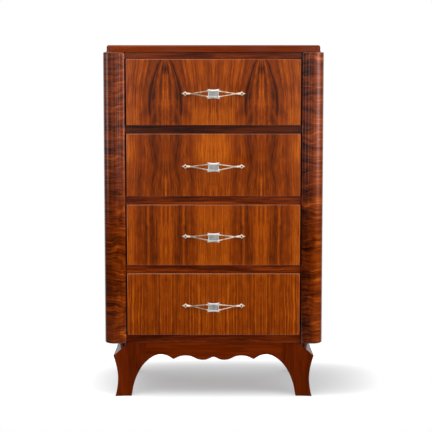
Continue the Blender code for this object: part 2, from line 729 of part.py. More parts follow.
def make_drawer_box(level, slide):
    """Front with sockets, two dovetailed sides, a housed back and a bottom in grooves."""
    name = f"drawer_{level.number}"
    low = (-DRAWER_HALF, FACE_Y, level.bottom)
    high = (DRAWER_HALF, FRONT_BACK_Y, level.top)
    front = box(f"{name}_front", low, high, FRONT_VENEER)
    round_edges(front.data, DRAWER_FRONT_ROUND, lambda point: point.y < 0)
    panel_low = level.shelf + FIT_GAP + DRAWER_BOTTOM_RISE
    panel_high = panel_low + DRAWER_BOTTOM_THICKNESS
    rear = DRAWER_REAR_Y - DRAWER_BACK_INSET
    tuck = DRAWER_GROOVE_DEPTH - FIT_GAP
    bottom_low = (-DRAWER_INNER - tuck, FRONT_BACK_Y - tuck, panel_low)
    bottom_high = (DRAWER_INNER + tuck, rear, panel_high)
    bottom = box(f"{name}_bottom", bottom_low, bottom_high, PANEL_WOOD)
    groove_high = (bottom_high[0], DRAWER_REAR_Y + CUT_MARGIN, panel_high)
    groove = box_cutter(f"{name}_groove", *grown(bottom_low, groove_high))
    cut(front, groove)

    housing = DRAWER_INNER + DRAWER_BACK_HOUSING - FIT_GAP
    back_top = level.top - DRAWER_SIDE_DROP - DRAWER_BACK_DROP
    back_low = (-housing, rear - DRAWER_BACK_THICKNESS, panel_high + FIT_GAP)
    back = box(f"{name}_back", back_low, (housing, rear, back_top), DRAWER_WOOD)
    slot_high = (housing, rear, level.top)
    slot = box_cutter(f"{name}_housing", *grown(back_low, slot_high))

    pieces = [front, bottom, back]
    for word, side in (("left", -1), ("right", 1)):
        x = side * (DRAWER_HALF - DRAWER_SIDE_THICKNESS / 2)
        side_name = f"{name}_{word}_side"
        mesh = prism_mesh(side_name, [drawer_side_outline(level)], DRAWER_SIDE_THICKNESS, FACING_SIDE)
        board = place(side_name, mesh, (x, 0, 0), DRAWER_WOOD)
        cut(board, groove)
        cut(board, slot)
        pieces.append(board)
        width = DRAWER_SIDE_THICKNESS + 2 * FIT_GAP + CUT_MARGIN
        centre = side * (DRAWER_INNER - FIT_GAP + width / 2)
        sockets = prism_mesh(f"{name}_{word}_sockets", socket_outlines(level), width, FACING_SIDE)
        cut(front, cutter(f"{name}_{word}_sockets", sockets, (centre, 0, 0)))
        cut(front, screw_cut(f"{name}_{word}_screw_hole", side * PULL_SPAN / 2, pull_height(level)))
    hang_on(slide, pieces)


def plaque_outline():
    """Rectangle whose edges curve in between its corners."""
    half_w, half_h = PLAQUE_WIDTH / 2, PLAQUE_HEIGHT / 2
    corners = [(half_w, half_h), (-half_w, half_h), (-half_w, -half_h), (half_w, -half_h)]
    points = []
    for start, end in zip(corners, corners[1:] + corners[:1]):
        inward = (0, -math.copysign(1, start[1])) if start[1] == end[1] else (-math.copysign(1, start[0]), 0)
        for step in range(BEZIER_STEPS):
            t = step / BEZIER_STEPS
            dip = 4 * t * (1 - t) * PLAQUE_WAIST
            points.append(tuple(a + (b - a) * t + dip * n for a, b, n in zip(start, end, inward)))
    return points


def pull_mesh():
    """Cast pull: raised plaque, two arms each side and a pointed end round each screw."""
    plaque_y = -PULL_REACH + PLAQUE_THICKNESS / 2
    mesh = prism_mesh("pull_plaque", [plaque_outline()], PLAQUE_THICKNESS, FACING_FRONT)
    mesh.transform(Matrix.Translation((0, plaque_y, 0)))
    round_edges(mesh, PLAQUE_BEVEL, lambda point: point.y < FIT_GAP - PULL_REACH)
    plaque = cutter("pull", mesh)
    panel_half = [size / 2 - PLAQUE_WAIST - PLAQUE_PANEL_MARGIN for size in (PLAQUE_WIDTH, PLAQUE_HEIGHT)]
    panel_low = (-panel_half[0], -PULL_REACH - CUT_MARGIN, -panel_half[1])
    panel_high = (panel_half[0], -PULL_REACH + PLAQUE_PANEL_DEPTH, panel_half[1])
    cut(plaque, box_cutter("pull_panel", panel_low, panel_high))

    seat = -FIT_GAP
    for word, side in (("left", -1), ("right", 1)):
        screw_x = side * PULL_SPAN / 2
        end = rod_mesh(f"pull_{word}_end", (0, seat, 0), (0, -PULL_END_THICKNESS, 0), 1, PULL_END_TAPER, 4)
        end.transform(Matrix.Diagonal((PULL_END_REACH, 1, PULL_END_HALF_HEIGHT, 1)))
        end.transform(Matrix.Translation((screw_x, 0, 0)))
        join(plaque, cutter(f"pull_{word}_end", end))
        fork = Vector((screw_x - side * PULL_BAR_LENGTH, -PULL_FORK_HEIGHT, 0))
        bar_start = Vector((screw_x - side * PULL_BAR_START, -PULL_END_THICKNESS / 2 - seat, 0))
        bar_end = fork + (fork - bar_start).normalized() * ARM_OVERLAP
        join(plaque, rod(f"pull_{word}_bar", bar_start, bar_end, PULL_BAR_RADIUS, PULL_BAR_RADIUS))
        for level_word, up in (("upper", 1), ("lower", -1)):
            inner = side * (PLAQUE_WIDTH / 2 - PLAQUE_WAIST - ARM_OVERLAP)
            tip = (inner, plaque_y, up * ARM_SPREAD)
            join(plaque, rod(f"pull_{word}_{level_word}_arm", fork, tip, ARM_RADIUS, ARM_RADIUS, ARM_SIDES))
        head = SCREW_HEAD_RADIUS + FIT_GAP
        floor = -PULL_END_THICKNESS + SCREW_HEAD_SINK
        shank = SCREW_SHANK_RADIUS + FIT_GAP
        above = -PULL_END_THICKNESS - CUT_MARGIN
        cut(plaque, rod(f"pull_{word}_seat", (screw_x, above, 0), (screw_x, floor, 0), head, head))
        cut(plaque, rod(f"pull_{word}_hole", (screw_x, above, 0), (screw_x, CUT_MARGIN, 0), shank, shank))
    finished = evaluated_mesh(plaque, "pull")
    finished.shade_smooth()
    finished.set_sharp_from_angle(angle=SMOOTH_ANGLE)
    return finished


def screw_mesh():
    """Turned screw, its head towards the front, with the underside of the head at the origin."""
    head_top = SCREW_HEAD_HEIGHT
    profile = [
        (0, head_top),
        (SCREW_HEAD_RADIUS - SCREW_CROWN, head_top),
        (SCREW_HEAD_RADIUS, head_top - SCREW_CROWN),
        (SCREW_HEAD_RADIUS, 0),
        (SCREW_SHANK_RADIUS, 0),
        (SCREW_SHANK_RADIUS, SCREW_POINT_LENGTH - SCREW_LENGTH),
        (0, -SCREW_LENGTH),
    ]
    mesh = bpy.data.meshes.new("screw_profile")
    edges = [(i, i + 1) for i in range(len(profile) - 1)]
    mesh.from_pydata([(r, 0, z) for r, z in profile], edges, [])
    turned = cutter("screw_profile", mesh)
    spin = turned.modifiers.new("spin", "SCREW")
    spin.axis = "Z"
    spin.steps = SCREW_STEPS
    spin.render_steps = SCREW_STEPS
    spin.use_merge_vertices = True
    spin.merge_threshold = WELD_DISTANCE
    finished = evaluated_mesh(turned, "screw")
    bpy.data.objects.remove(turned)
    finished.transform(FACING_FRONT)
    return finished


def make_pulls(slides):
    """One pull and its two screws on each drawer front."""
    pull = pull_mesh()
    screw = screw_mesh()
    screw_y = FACE_Y - PULL_END_THICKNESS + SCREW_HEAD_SINK - FIT_GAP
    for level in LEVELS:
        name = f"drawer_{level.number}"
        z = pull_height(level)
        pieces = [place(f"{name}_pull", pull, (0, FACE_Y, z), NICKEL)]
        for word, side in (("left", -1), ("right", 1)):
            location = (side * PULL_SPAN / 2, screw_y, z)
            pieces.append(place(f"{name}_{word}_screw", screw, location, SCREW_STEEL))
        hang_on(slides[level.number], pieces)


def make_slides():
    """An empty for each drawer, on the line that it slides along."""
    slides = {}
    for level in LEVELS:
        slide = bpy.data.objects.new(f"drawer_{level.number}_slide", None)
        slide.location = (0, FACE_Y, (level.bottom + level.top) / 2)
        PARTS.objects.link(slide)
        slides[level.number] = slide
    return slides


def hang_on(parent, pieces):
    for piece in pieces:
        piece.parent = parent
        piece.location -= parent.location


make_top_board()
make_posts_and_rails()
make_panels()
make_runners()
make_base()
SLIDES = make_slides()
for drawer_level in LEVELS:
    make_drawer_box(drawer_level, SLIDES[drawer_level.number])
make_pulls(SLIDES)
bpy.context.view_layer.update()
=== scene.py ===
"""Chiffonier, dressed: figured veneers, polished case wood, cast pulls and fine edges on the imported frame.

Metres, Z up, front towards -Y. A piece's own coordinates are its place at rest, so the wood's figure runs on
from one piece to the next and stays with a drawer when it slides.
"""

import math

import bmesh
import bpy
from mathutils import Matrix, Vector


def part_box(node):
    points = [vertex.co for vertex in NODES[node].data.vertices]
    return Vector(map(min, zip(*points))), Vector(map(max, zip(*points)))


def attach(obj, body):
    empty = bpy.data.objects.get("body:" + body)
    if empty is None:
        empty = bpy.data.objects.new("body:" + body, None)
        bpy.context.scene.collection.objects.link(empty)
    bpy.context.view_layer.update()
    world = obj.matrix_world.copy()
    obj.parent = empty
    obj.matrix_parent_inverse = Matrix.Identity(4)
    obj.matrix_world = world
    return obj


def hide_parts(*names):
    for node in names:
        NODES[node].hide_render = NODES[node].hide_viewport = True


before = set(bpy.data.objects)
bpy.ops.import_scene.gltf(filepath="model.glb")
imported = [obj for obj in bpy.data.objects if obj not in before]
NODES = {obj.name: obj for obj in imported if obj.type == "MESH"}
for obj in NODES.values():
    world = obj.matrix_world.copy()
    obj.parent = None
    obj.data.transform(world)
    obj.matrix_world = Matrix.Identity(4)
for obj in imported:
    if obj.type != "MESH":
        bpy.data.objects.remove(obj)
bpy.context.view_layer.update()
FACE_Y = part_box("drawer_1_front")[0].y  # plane of the drawer fronts
DRAWERS = (1, 2, 3, 4)
SIDES = (("left", -1), ("right", 1))
ENDS = (("front", -1), ("back", 1))

# Camera and stage
CAMERA_PLACE = (0.0074, -4.58, 1.033)
CAMERA_PITCH = 6.315             # degrees below level
CAMERA_LENS = 124.7
CAMERA_SENSOR = 36.0
FLOOR_HALF_WIDTH = 0.64
FLOOR_FRONT = -0.52
FLOOR_BACK = 0.60
WHITE = (1, 1, 1, 1)
FLOOR_COLOUR = (0.49, 0.50, 0.515, 1)
FLOOR_GLOW = 0.325               # white that the camera sees over the shade; it grows to 1 further off
FLOOR_SHINE = 0.5                # share of that white that polished surfaces see
SHADE_CENTRE = (0.07, 0.07)      # the floor shows its shade here, and is white all round
SHADE_REACH = (0.49, 0.28)
SHADE_SQUARENESS = 4             # 2 is an ellipse
SHADE_FADE = (0.2, 1.8)          # shares of that reach, squared, where the shade starts to fade and is gone
SKY = (                          # brightness by height, from 0 straight down to 1 straight up
    (0.22, 0.80), (0.34, 0.12), (0.40, 0.02), (0.435, 0.04), (0.463, 0.10), (0.485, 0.19),
    (0.51, 0.20), (0.60, 0.45), (0.72, 0.80),
)
STRIPS = (                       # degrees to the right of straight in front, half width, brightness
    (-83, 11, 3.6), (-24, 1.3, 3.0), (-13, 1.2, 2.8), (-5, 1.0, 1.6), (5, 1.0, 2.0), (11, 1.2, 2.8),
    (18, 1.3, 3.0), (62, 22, 4.5),
)
STRIP_FOOT = (-0.16, 0.02)       # heights between which the strips come in
STRIP_HEAD = (0.45, 0.20)        # and between which they end
BACKDROP_EDGE = (0.64, 0.80)     # how squarely behind the piece a direction points where the backdrop starts
LAMPS = (                        # name, place, what it points at, size and power
    ("key", (2.6, -2.4, 2.4), (0, -0.1, 0.50), (2.4, 2.4), 17),
    ("overhead", (-0.7, -1.0, 2.7), (0, -0.1, 0.6), (3.0, 2.2), 43),
)

# Figure of the drawer veneer: each half is two mirrored leaves of one sheet, cut past the heart of the log
LEAF_SEAM = 0.141                # from the middle to the seam of each half
SEAM_DRIFT = 0.007               # how far the grain wanders sideways
SEAM_SOFTNESS = 0.004
FLAME_TOP = 1.0142               # height of the flame's point, just above the drawers
FLAME_SPREAD = 0.0188            # the flame's width squared grows by this much per metre below its point
FLAME_RING = 0.0455              # half width of the flame where it has spread out
FLAME_SHOULDER = 0.008           # how softly its sides turn upright there
FLAME_NARROWING = 0.003          # towards its lower end
FLAME_FOOT = (0.885, 0.83)       # heights between which it narrows
FLAME_END = (0.83, 0.78)         # heights between which the rings turn upright below it
FLAME_REACH = 0.060              # how far outside it the grain still leans
OUTLINE_SPAN = (0.80, 0.91)      # heights between which its dark outline comes in
SMOKE_FOOT = (0.83, 0.88)        # the soft shade along the outline begins
SMOKE_HEAD = (0.97, 0.90)        # and ends
FADED_FOOT = (0.79, 0.81)        # the flame's paler lower end, and the first drawer's lower edge
FADED_HEAD = (0.875, 0.825)
FEATHER_FOOT = (0.79, 0.82)      # the curl inside the flame begins
SUNNY_RINGS = (0.060, 0.090)     # outside the flame the first drawer is brighter,
SUNNY_HEIGHT = (0.93, 0.83)      # more so towards its lower edge
PAINTED_LEFT_SHADE = (0.0, -0.2)         # painted shade: the fronts darken a little from the middle to the left, as if lit from the right
PINCH_HEIGHT = 0.711             # where the grain draws in again, in the second drawer
PINCH = 0.55
CALM_SPAN = (0.62, 0.56)         # heights below which the bands are softer
PLAIN_SPAN = (0.42, 0.36)        # heights below which the figure is plain, as on the fourth drawer
RING_SPAN = 0.15                 # reach of the ring tones below
FIGURE = (                       # tones by ring of the first three drawers, and heights where each takes over
    (
        ((0, 0.60), (0.008, 0.56), (0.016, 0.40), (0.025, 0.54), (0.035, 0.30), (0.041, 0.38), (0.047, 0.40),
         (0.053, 0.51), (0.076, 0.55), (0.093, 0.63), (0.112, 0.58)),
        None,
    ),
    (
        ((0, 0.50), (0.022, 0.42), (0.042, 0.33), (0.062, 0.58), (0.073, 0.46), (0.092, 0.54), (0.110, 0.62)),
        (0.82, 0.79),
    ),
    (
        ((0, 0.58), (0.012, 0.72), (0.025, 0.50), (0.042, 0.27), (0.048, 0.44), (0.053, 0.64), (0.059, 0.38),
         (0.080, 0.50), (0.103, 0.82), (0.135, 0.68)),
        (0.605, 0.58),
    ),
)
GRAIN = (                        # cells per metre of ring, seed, cells per metre of height, detail, roughness
    (55, 5.0, 2.2, 1, 0.5),      # broad bands
    (150, 3.0, 2.4, 2, 0.5),     # bands
    (400, 9.0, 2.6, 2, 0.55),    # streaks
    (430, 7.0, 17, 2, 0.55),     # dashes
    (1500, 1.0, 30, 2, 0.6),     # fibres
)
KNOT_ACROSS = 0.050
KNOT_HEIGHT = 0.511
HEART_HEIGHT = 0.978             # dull patch in the point of the flame
GLOW_HEIGHT = 0.745              # brightest part of the middle
GLOW_ACROSS = (0.086, 0.096)
CORE_FACING = (-0.9, -0.6)       # the core shows where a surface turns away from the front; its pale tone also paints the highlight along the top edges
FRONT_ROUND = 0.0018             # of the drawer fronts' edges
FRONT_SHOULDER = 1.2             # depth in roundings at which the cutter clears the edges
FRONT_SKIM = 0.00002             # taken off the faces where the rounding meets them

# Painted light and shade on the post veneer: each post lighter towards its right, as if lit from the right,
# by its place across, and the right one darker on its flank, by its depth
LEFT_POST_SPAN = (-0.322, -0.262)
RIGHT_POST_SPAN = (0.266, 0.316)
RIGHT_POST_FLANK = (-0.166, -0.150)
POST_CHANGE = (-0.1, 0.1)        # between the posts, where one tone gives way to the other

# Top board
TOP_CORNER_RADIUS = 0.014
TOP_ROUND = 0.006
TOP_BEAD = 0.0032                # height of the bead along the lower edge
TOP_BEAD_PROUD = 0.0014
BEAD_ANGLES = range(-60, 91, 30)  # degrees, round its face

# Corner posts
POST_ROUND_WIDTH = 0.030
POST_ROUND_DEPTH = 0.036
POST_INNER_ROUND = 0.009
POST_END_ROUND = 0.0035
POST_TILT = 16                   # degrees that the face has turned away where it meets the drawers

# Legs and aprons
LEG_WING = 0.082
FOOT_WIDTH = 0.0485
TOE_OUTSET = 0.010
ANKLE_OUTSET = 0.002
ANKLE_HEIGHT = 0.055
KNEE_OUTSET = 0.0155
KNEE_DROP = 0.038
CORNER_CANT = 0.030
CANT_DEPTH = 0.072               # how far back along the flank the cant has run where it meets the case
LEG_ARRIS = 0.0015
LEG_INNER_STEP = 0.004
OUTSET_FORWARD_SHARE = 0.5
KNEE_SWELL = 1.8
CANT_HOLLOW = 1.2                # 1 is a straight outline above the knee
CORNER_FULLNESS = 1.0            # 1 is a flat cant, 2 a round corner
ARCH_RISE = 0.0227
ARCH_REACH = 0.043
ARCH_SHOULDER = 0.025
FOOT_SWEEP_IN = 0.0055
FOOT_SWEEP_UP = 0.040
APRON_DEPTH = 0.036
APRON_TENON_LENGTH = 0.012
APRON_ARRIS = 0.0004
APRON_CREASE = 40                # degrees; edges that turn less stay as they are
LEG_CREASE = 50
CUSP_PLACE = 0.752
CUSP_DROP = 0.0145
SMALL_ARCH_PLACE = 0.521
SMALL_ARCH_DROP = 0.004
LOBE_PLACE = 0.193
LOBE_DROP = 0.017
NOTCH_DROP = 0.008

# Pulls
PULL_SPAN = 0.166
PULL_REACH = 0.034
PLAQUE_WIDTH = 0.036
PLAQUE_HEIGHT = 0.0298
PLAQUE_THICKNESS = 0.006
PLAQUE_WAIST = 0.0022
PLAQUE_EDGE = 0.0012
PLAQUE_CROWN = 0.0024            # how far the rim rises from its edge to the panel's lip
PLAQUE_SWELL = ((0.4, 0.62), (1.4, 0.30))  # on the way: inset in edges, and share of the rise to come
PANEL_LIP = 0.0008
PANEL_WIDTH = 0.0262
PANEL_HEIGHT = 0.0150
PANEL_DEPTH = 0.0018
PANEL_LIP_DEPTH = 0.25           # share of that depth where the lip ends
ARM_RADIUS = 0.0019
ARM_TAPER = (0.9, 1.1)           # shares of it at the fork and at the plaque
ARM_SPREAD = 0.0085
ARM_OVERLAP = 0.002
COLLAR_RADIUS = 0.0026
COLLAR_LENGTH = 0.0045
END_REACH = 0.0115
END_HALF_HEIGHT = 0.0075
END_THICKNESS = 0.0065
END_WALL = 0.0022
END_CROWN = (0.25, 0.75)         # shares of the star and of the screw's seat in the outline of its top
END_HOLLOW = 0.85                # 1 is a straight-sided diamond, less draws its sides in
BAR_START = 0.0035
BAR_LENGTH = 0.017
BAR_RADIUS = 0.0034
BAR_TIP_RADIUS = 0.0026
FORK_HEIGHT = 0.0075
SEAT_RADIUS = 0.0025
SEAT_DEPTH = 0.0016
SCREW_HEAD_RADIUS = 0.0021
SCREW_HEAD_HEIGHT = 0.0014
SCREW_SHANK_RADIUS = 0.0014
SCREW_LENGTH = 0.016
SCREW_DOME = ((0.6, 0.94), (0.9, 0.70), (1.0, 0.45))  # shares of the head's radius and height
SCREW_TAPER = 0.75               # share of the length where the point starts
SCREW_TIP = 0.0002
SCREW_SLOT_WIDTH = 0.0007
SCREW_SLOT_DEPTH = 0.0008
SCREW_SLOT_TURN = 25             # degrees from level
FIT_GAP = 0.0003

# Nickel of the pulls, by distance from their middle
NICKEL_END = (0.066, 0.072)      # where the arms pass into the ends
NICKEL_PLAQUE = (0.022, 0.018)   # and into the plaque
NICKEL_RIGHT_LIGHT = (-0.05, 0.05)       # painted light: the right arms are brighter, as if lit from the right

# Arrises of the nodes that stay
RAIL_ARRIS = 0.0007
SIDE_ARRIS = 0.0008
BACK_ARRIS = 0.0006
BOX_ARRIS = 0.0005
THIN_ARRIS = 0.0003
ARRIS_SEGMENTS = 2
ARRIS_CREASE = 30                # degrees; edges that turn less stay as they are

# Facets
FINE_STEPS = 24
CURVE_STEPS = 16
ROUND_STEPS = 6
BAR_SIDES = 20
SMOOTH_ANGLE = math.radians(32)
FLAT_ANGLE = math.radians(0.5)   # faces that turn less become one
FLAT_WEIGHT = 80                 # of large faces against small ones in the shading
WELD_DISTANCE = 0.00001
FINE_WELD = 0.000002

# Depth of the fine relief in the shading
WOOD_RELIEF = 0.0001
NICKEL_RELIEF = 0.00012
PANEL_RELIEF = 0.00008
STEEL_RELIEF = 0.00005


def linear(*srgb):
    """A colour on the 0 to 255 scale, as the shader's linear values."""
    shares = [value / 255 for value in srgb]
    return [s / 12.92 if s <= 0.04045 else ((s + 0.055) / 1.055) ** 2.4 for s in shares] + [1.0]


# Colours, from dark to light
FRONT_TONES = [
    (0.00, linear(56, 20, 4)), (0.25, linear(94, 36, 5)), (0.50, linear(128, 51, 5)),
    (0.75, linear(160, 71, 8)), (1.00, linear(194, 97, 15)),
]
# the core is real core wood, made pale enough to paint the highlight on the fronts' top edges
CORE_AND_EDGE_HIGHLIGHT_TONES = [(0.2, linear(146, 76, 34)), (0.8, linear(198, 120, 64))]
POST_TONES = [
    (0.05, linear(36, 10, 2)), (0.30, linear(76, 25, 2)), (0.55, linear(113, 42, 4)),
    (0.80, linear(150, 64, 10)), (1.00, linear(190, 98, 26)),
]
# painted light on the nickel: the arms' warm tones paint the wood reflected in them, and the ends' pale tones
# paint a highlight
ARM_TONES = [(0.30, linear(150, 124, 100)), (0.70, linear(216, 196, 174))]
END_HIGHLIGHT_TONES = [(0.30, linear(228, 204, 178)), (0.62, linear(250, 234, 212))]
RIM_TONES = [(0.30, linear(184, 179, 172)), (0.62, linear(212, 208, 202))]
PANEL_TONES = [(0.25, linear(168, 168, 168)), (0.75, linear(210, 210, 208))]
STEEL_TONES = [(0.35, linear(22, 17, 14)), (0.75, linear(56, 48, 42))]
APRON_WOOD = [linear(60, 17, 2), linear(95, 30, 3), linear(124, 45, 7)]
LEG_WOOD = [linear(55, 15, 2), linear(88, 28, 4), linear(117, 41, 8)]
TOP_WOOD = [linear(72, 22, 3), linear(109, 39, 5), linear(142, 60, 13)]
RAIL_WOOD = [linear(84, 30, 4), linear(132, 51, 7), linear(166, 73, 14)]
FRIEZE_WOOD = [linear(84, 29, 5), linear(122, 47, 7), linear(152, 66, 14)]
DARK_RAIL_WOOD = [linear(46, 16, 5), linear(75, 28, 7), linear(102, 42, 12)]
BOTTOM_RAIL_WOOD = [linear(62, 19, 3), linear(100, 34, 6), linear(132, 52, 10)]
SIDE_WOOD = [linear(66, 25, 8), linear(112, 48, 14), linear(150, 74, 24)]
BEECH = [linear(158, 108, 64), linear(194, 144, 92), linear(216, 174, 122)]
PLY = [linear(128, 74, 38), linear(164, 106, 58), linear(192, 136, 80)]


class Value:
    """A number in a material's nodes that adds, multiplies and so on."""

    def __init__(self, paint, socket):
        self.paint = paint
        self.socket = socket

    def __add__(self, other):
        return self.paint.math("ADD", self, other)

    def __sub__(self, other):
        return self.paint.math("SUBTRACT", self, other)

    def __mul__(self, other):
        return self.paint.math("MULTIPLY", self, other)

    def __abs__(self):
        return self.paint.math("ABSOLUTE", self)

    __radd__ = __add__
    __rmul__ = __mul__


class Paint:
    """The nodes of one material, or of the world, written as expressions."""

    def __init__(self, name, world=None):
        self.owner = world or bpy.data.materials.new(name)
        self.owner.use_nodes = True
        self.tree = self.owner.node_tree
        self.shader = self.tree.nodes["Background" if world else "Principled BSDF"]

    def node(self, kind, **settings):
        made = self.tree.nodes.new(kind)
        for key, value in settings.items():
            setattr(made, key, value)
        return made

    def feed(self, socket, value):
        if isinstance(value, Value):
            self.tree.links.new(value.socket, socket)
        else:
            socket.default_value = value

    def math(self, operation, *operands):
        made = self.node("ShaderNodeMath", operation=operation)
        for socket, operand in zip(made.inputs, operands):
            self.feed(socket, operand)
        return Value(self, made.outputs[0])

    def place(self, kind="Object"):
        """The point's own coordinates, or another kind of them."""
        source = self.node("ShaderNodeTexCoord")
        split = self.node("ShaderNodeSeparateXYZ")
        self.tree.links.new(source.outputs[kind], split.inputs[0])
        return [Value(self, output) for output in split.outputs]

    def noise(self, x, y, z, detail=2.0, roughness=0.5):
        """Soft noise about zero, with one cell to the unit."""
        point = self.node("ShaderNodeCombineXYZ")
        for socket, value in zip(point.inputs, (x, y, z)):
            self.feed(socket, value)
        made = self.node("ShaderNodeTexNoise")
        made.inputs["Scale"].default_value = 1.0
        made.inputs["Detail"].default_value = detail
        made.inputs["Roughness"].default_value = roughness
        self.tree.links.new(point.outputs[0], made.inputs["Vector"])
        return Value(self, made.outputs[0]) - 0.5

    def rise(self, value, low, high):
        """0 below low, 1 above high and smooth between."""
        made = self.node("ShaderNodeMapRange", interpolation_type="SMOOTHSTEP")
        self.feed(made.inputs["Value"], value)
        made.inputs["From Min"].default_value = low
        made.inputs["From Max"].default_value = high
        return Value(self, made.outputs["Result"])

    def hump(self, *offsets):
        """1 where every offset is 0, falling off on all sides."""
        squares = [offset * offset for offset in offsets]
        return self.math("EXPONENT", sum(squares[1:], squares[0]) * -1)

    def ramp(self, value, stops):
        """A colour, or a grey level, read from stops of (place, colour)."""
        made = self.node("ShaderNodeValToRGB")
        ladder = made.color_ramp.elements
        while len(ladder) < len(stops):
            ladder.new(1.0)
        for element, (place, colour) in zip(ladder, stops):
            element.position = place
            element.color = colour if isinstance(colour, list) else (colour, colour, colour, 1.0)
        self.feed(made.inputs[0], value)
        return Value(self, made.outputs["Color"])

    def mix(self, share, first, second):
        """From the first colour to the second."""
        made = self.node("ShaderNodeMix", data_type="RGBA")
        self.feed(made.inputs[0], share)
        self.feed(made.inputs[6], first)
        self.feed(made.inputs[7], second)
        return Value(self, made.outputs[2])

    def seen(self, share):
        """1 for the camera's rays, and a share for those that metal and glass send on."""
        rays = self.node("ShaderNodeLightPath")
        camera, glossy, clear = (
            Value(self, rays.outputs[f"Is {kind} Ray"]) for kind in ("Camera", "Glossy", "Transmission")
        )
        return self.math("MAXIMUM", camera, (glossy + clear) * share)

    def bump(self, height, distance):
        made = self.node("ShaderNodeBump")
        made.inputs["Strength"].default_value = 1.0
        made.inputs["Distance"].default_value = distance
        self.feed(made.inputs["Height"], height)
        self.feed(self.shader.inputs["Normal"], Value(self, made.outputs[0]))

    def finish(self, **sockets):
        """Sets the shader's own sockets, by name with _ for a space."""
        for name, value in sockets.items():
            self.feed(self.shader.inputs[name.replace("_", " ").title().replace("Ior", "IOR")], value)
        return self.owner


# Materials

POLISH = dict(specular_ior_level=0.0, coat_weight=1.0, coat_roughness=0.08)
RAIL_FINISH = dict(roughness=0.30, contrast=3.0, **POLISH)
WORN_FINISH = dict(roughness=0.30, contrast=1.3, worn=True, **POLISH)
WORN_FACING = (0.15, 0.40)       # how far worn wood faces up where its polish is left
TOP_FINISH = dict(POLISH, roughness=0.28, coat_weight=0.2)
POST_FINISH = dict(POLISH, coat_weight=0.65)
SIDE_FINISH = dict(POLISH, roughness=0.28, coat_weight=0.4, fineness=0.8, contrast=1.2)
BEECH_FINISH = dict(roughness=0.52)
FRAME_WOODS = (                  # name, axis of the grain, tones and finish
    ("rail_mahogany", "x", RAIL_WOOD, RAIL_FINISH),
    ("frieze_mahogany", "x", FRIEZE_WOOD, RAIL_FINISH),
    ("dark_rail_mahogany", "x", DARK_RAIL_WOOD, RAIL_FINISH),
    ("bottom_rail_mahogany", "x", BOTTOM_RAIL_WOOD, RAIL_FINISH),
    ("side_walnut", "z", SIDE_WOOD, SIDE_FINISH),
    ("drawer_side_beech", "y", BEECH, BEECH_FINISH),
    ("drawer_back_beech", "x", BEECH, BEECH_FINISH),
    ("drawer_bottom_ply", "x", PLY, dict(roughness=0.58)),
    ("back_board_ply", "z", PLY, dict(roughness=0.6, fineness=0.6)),
)


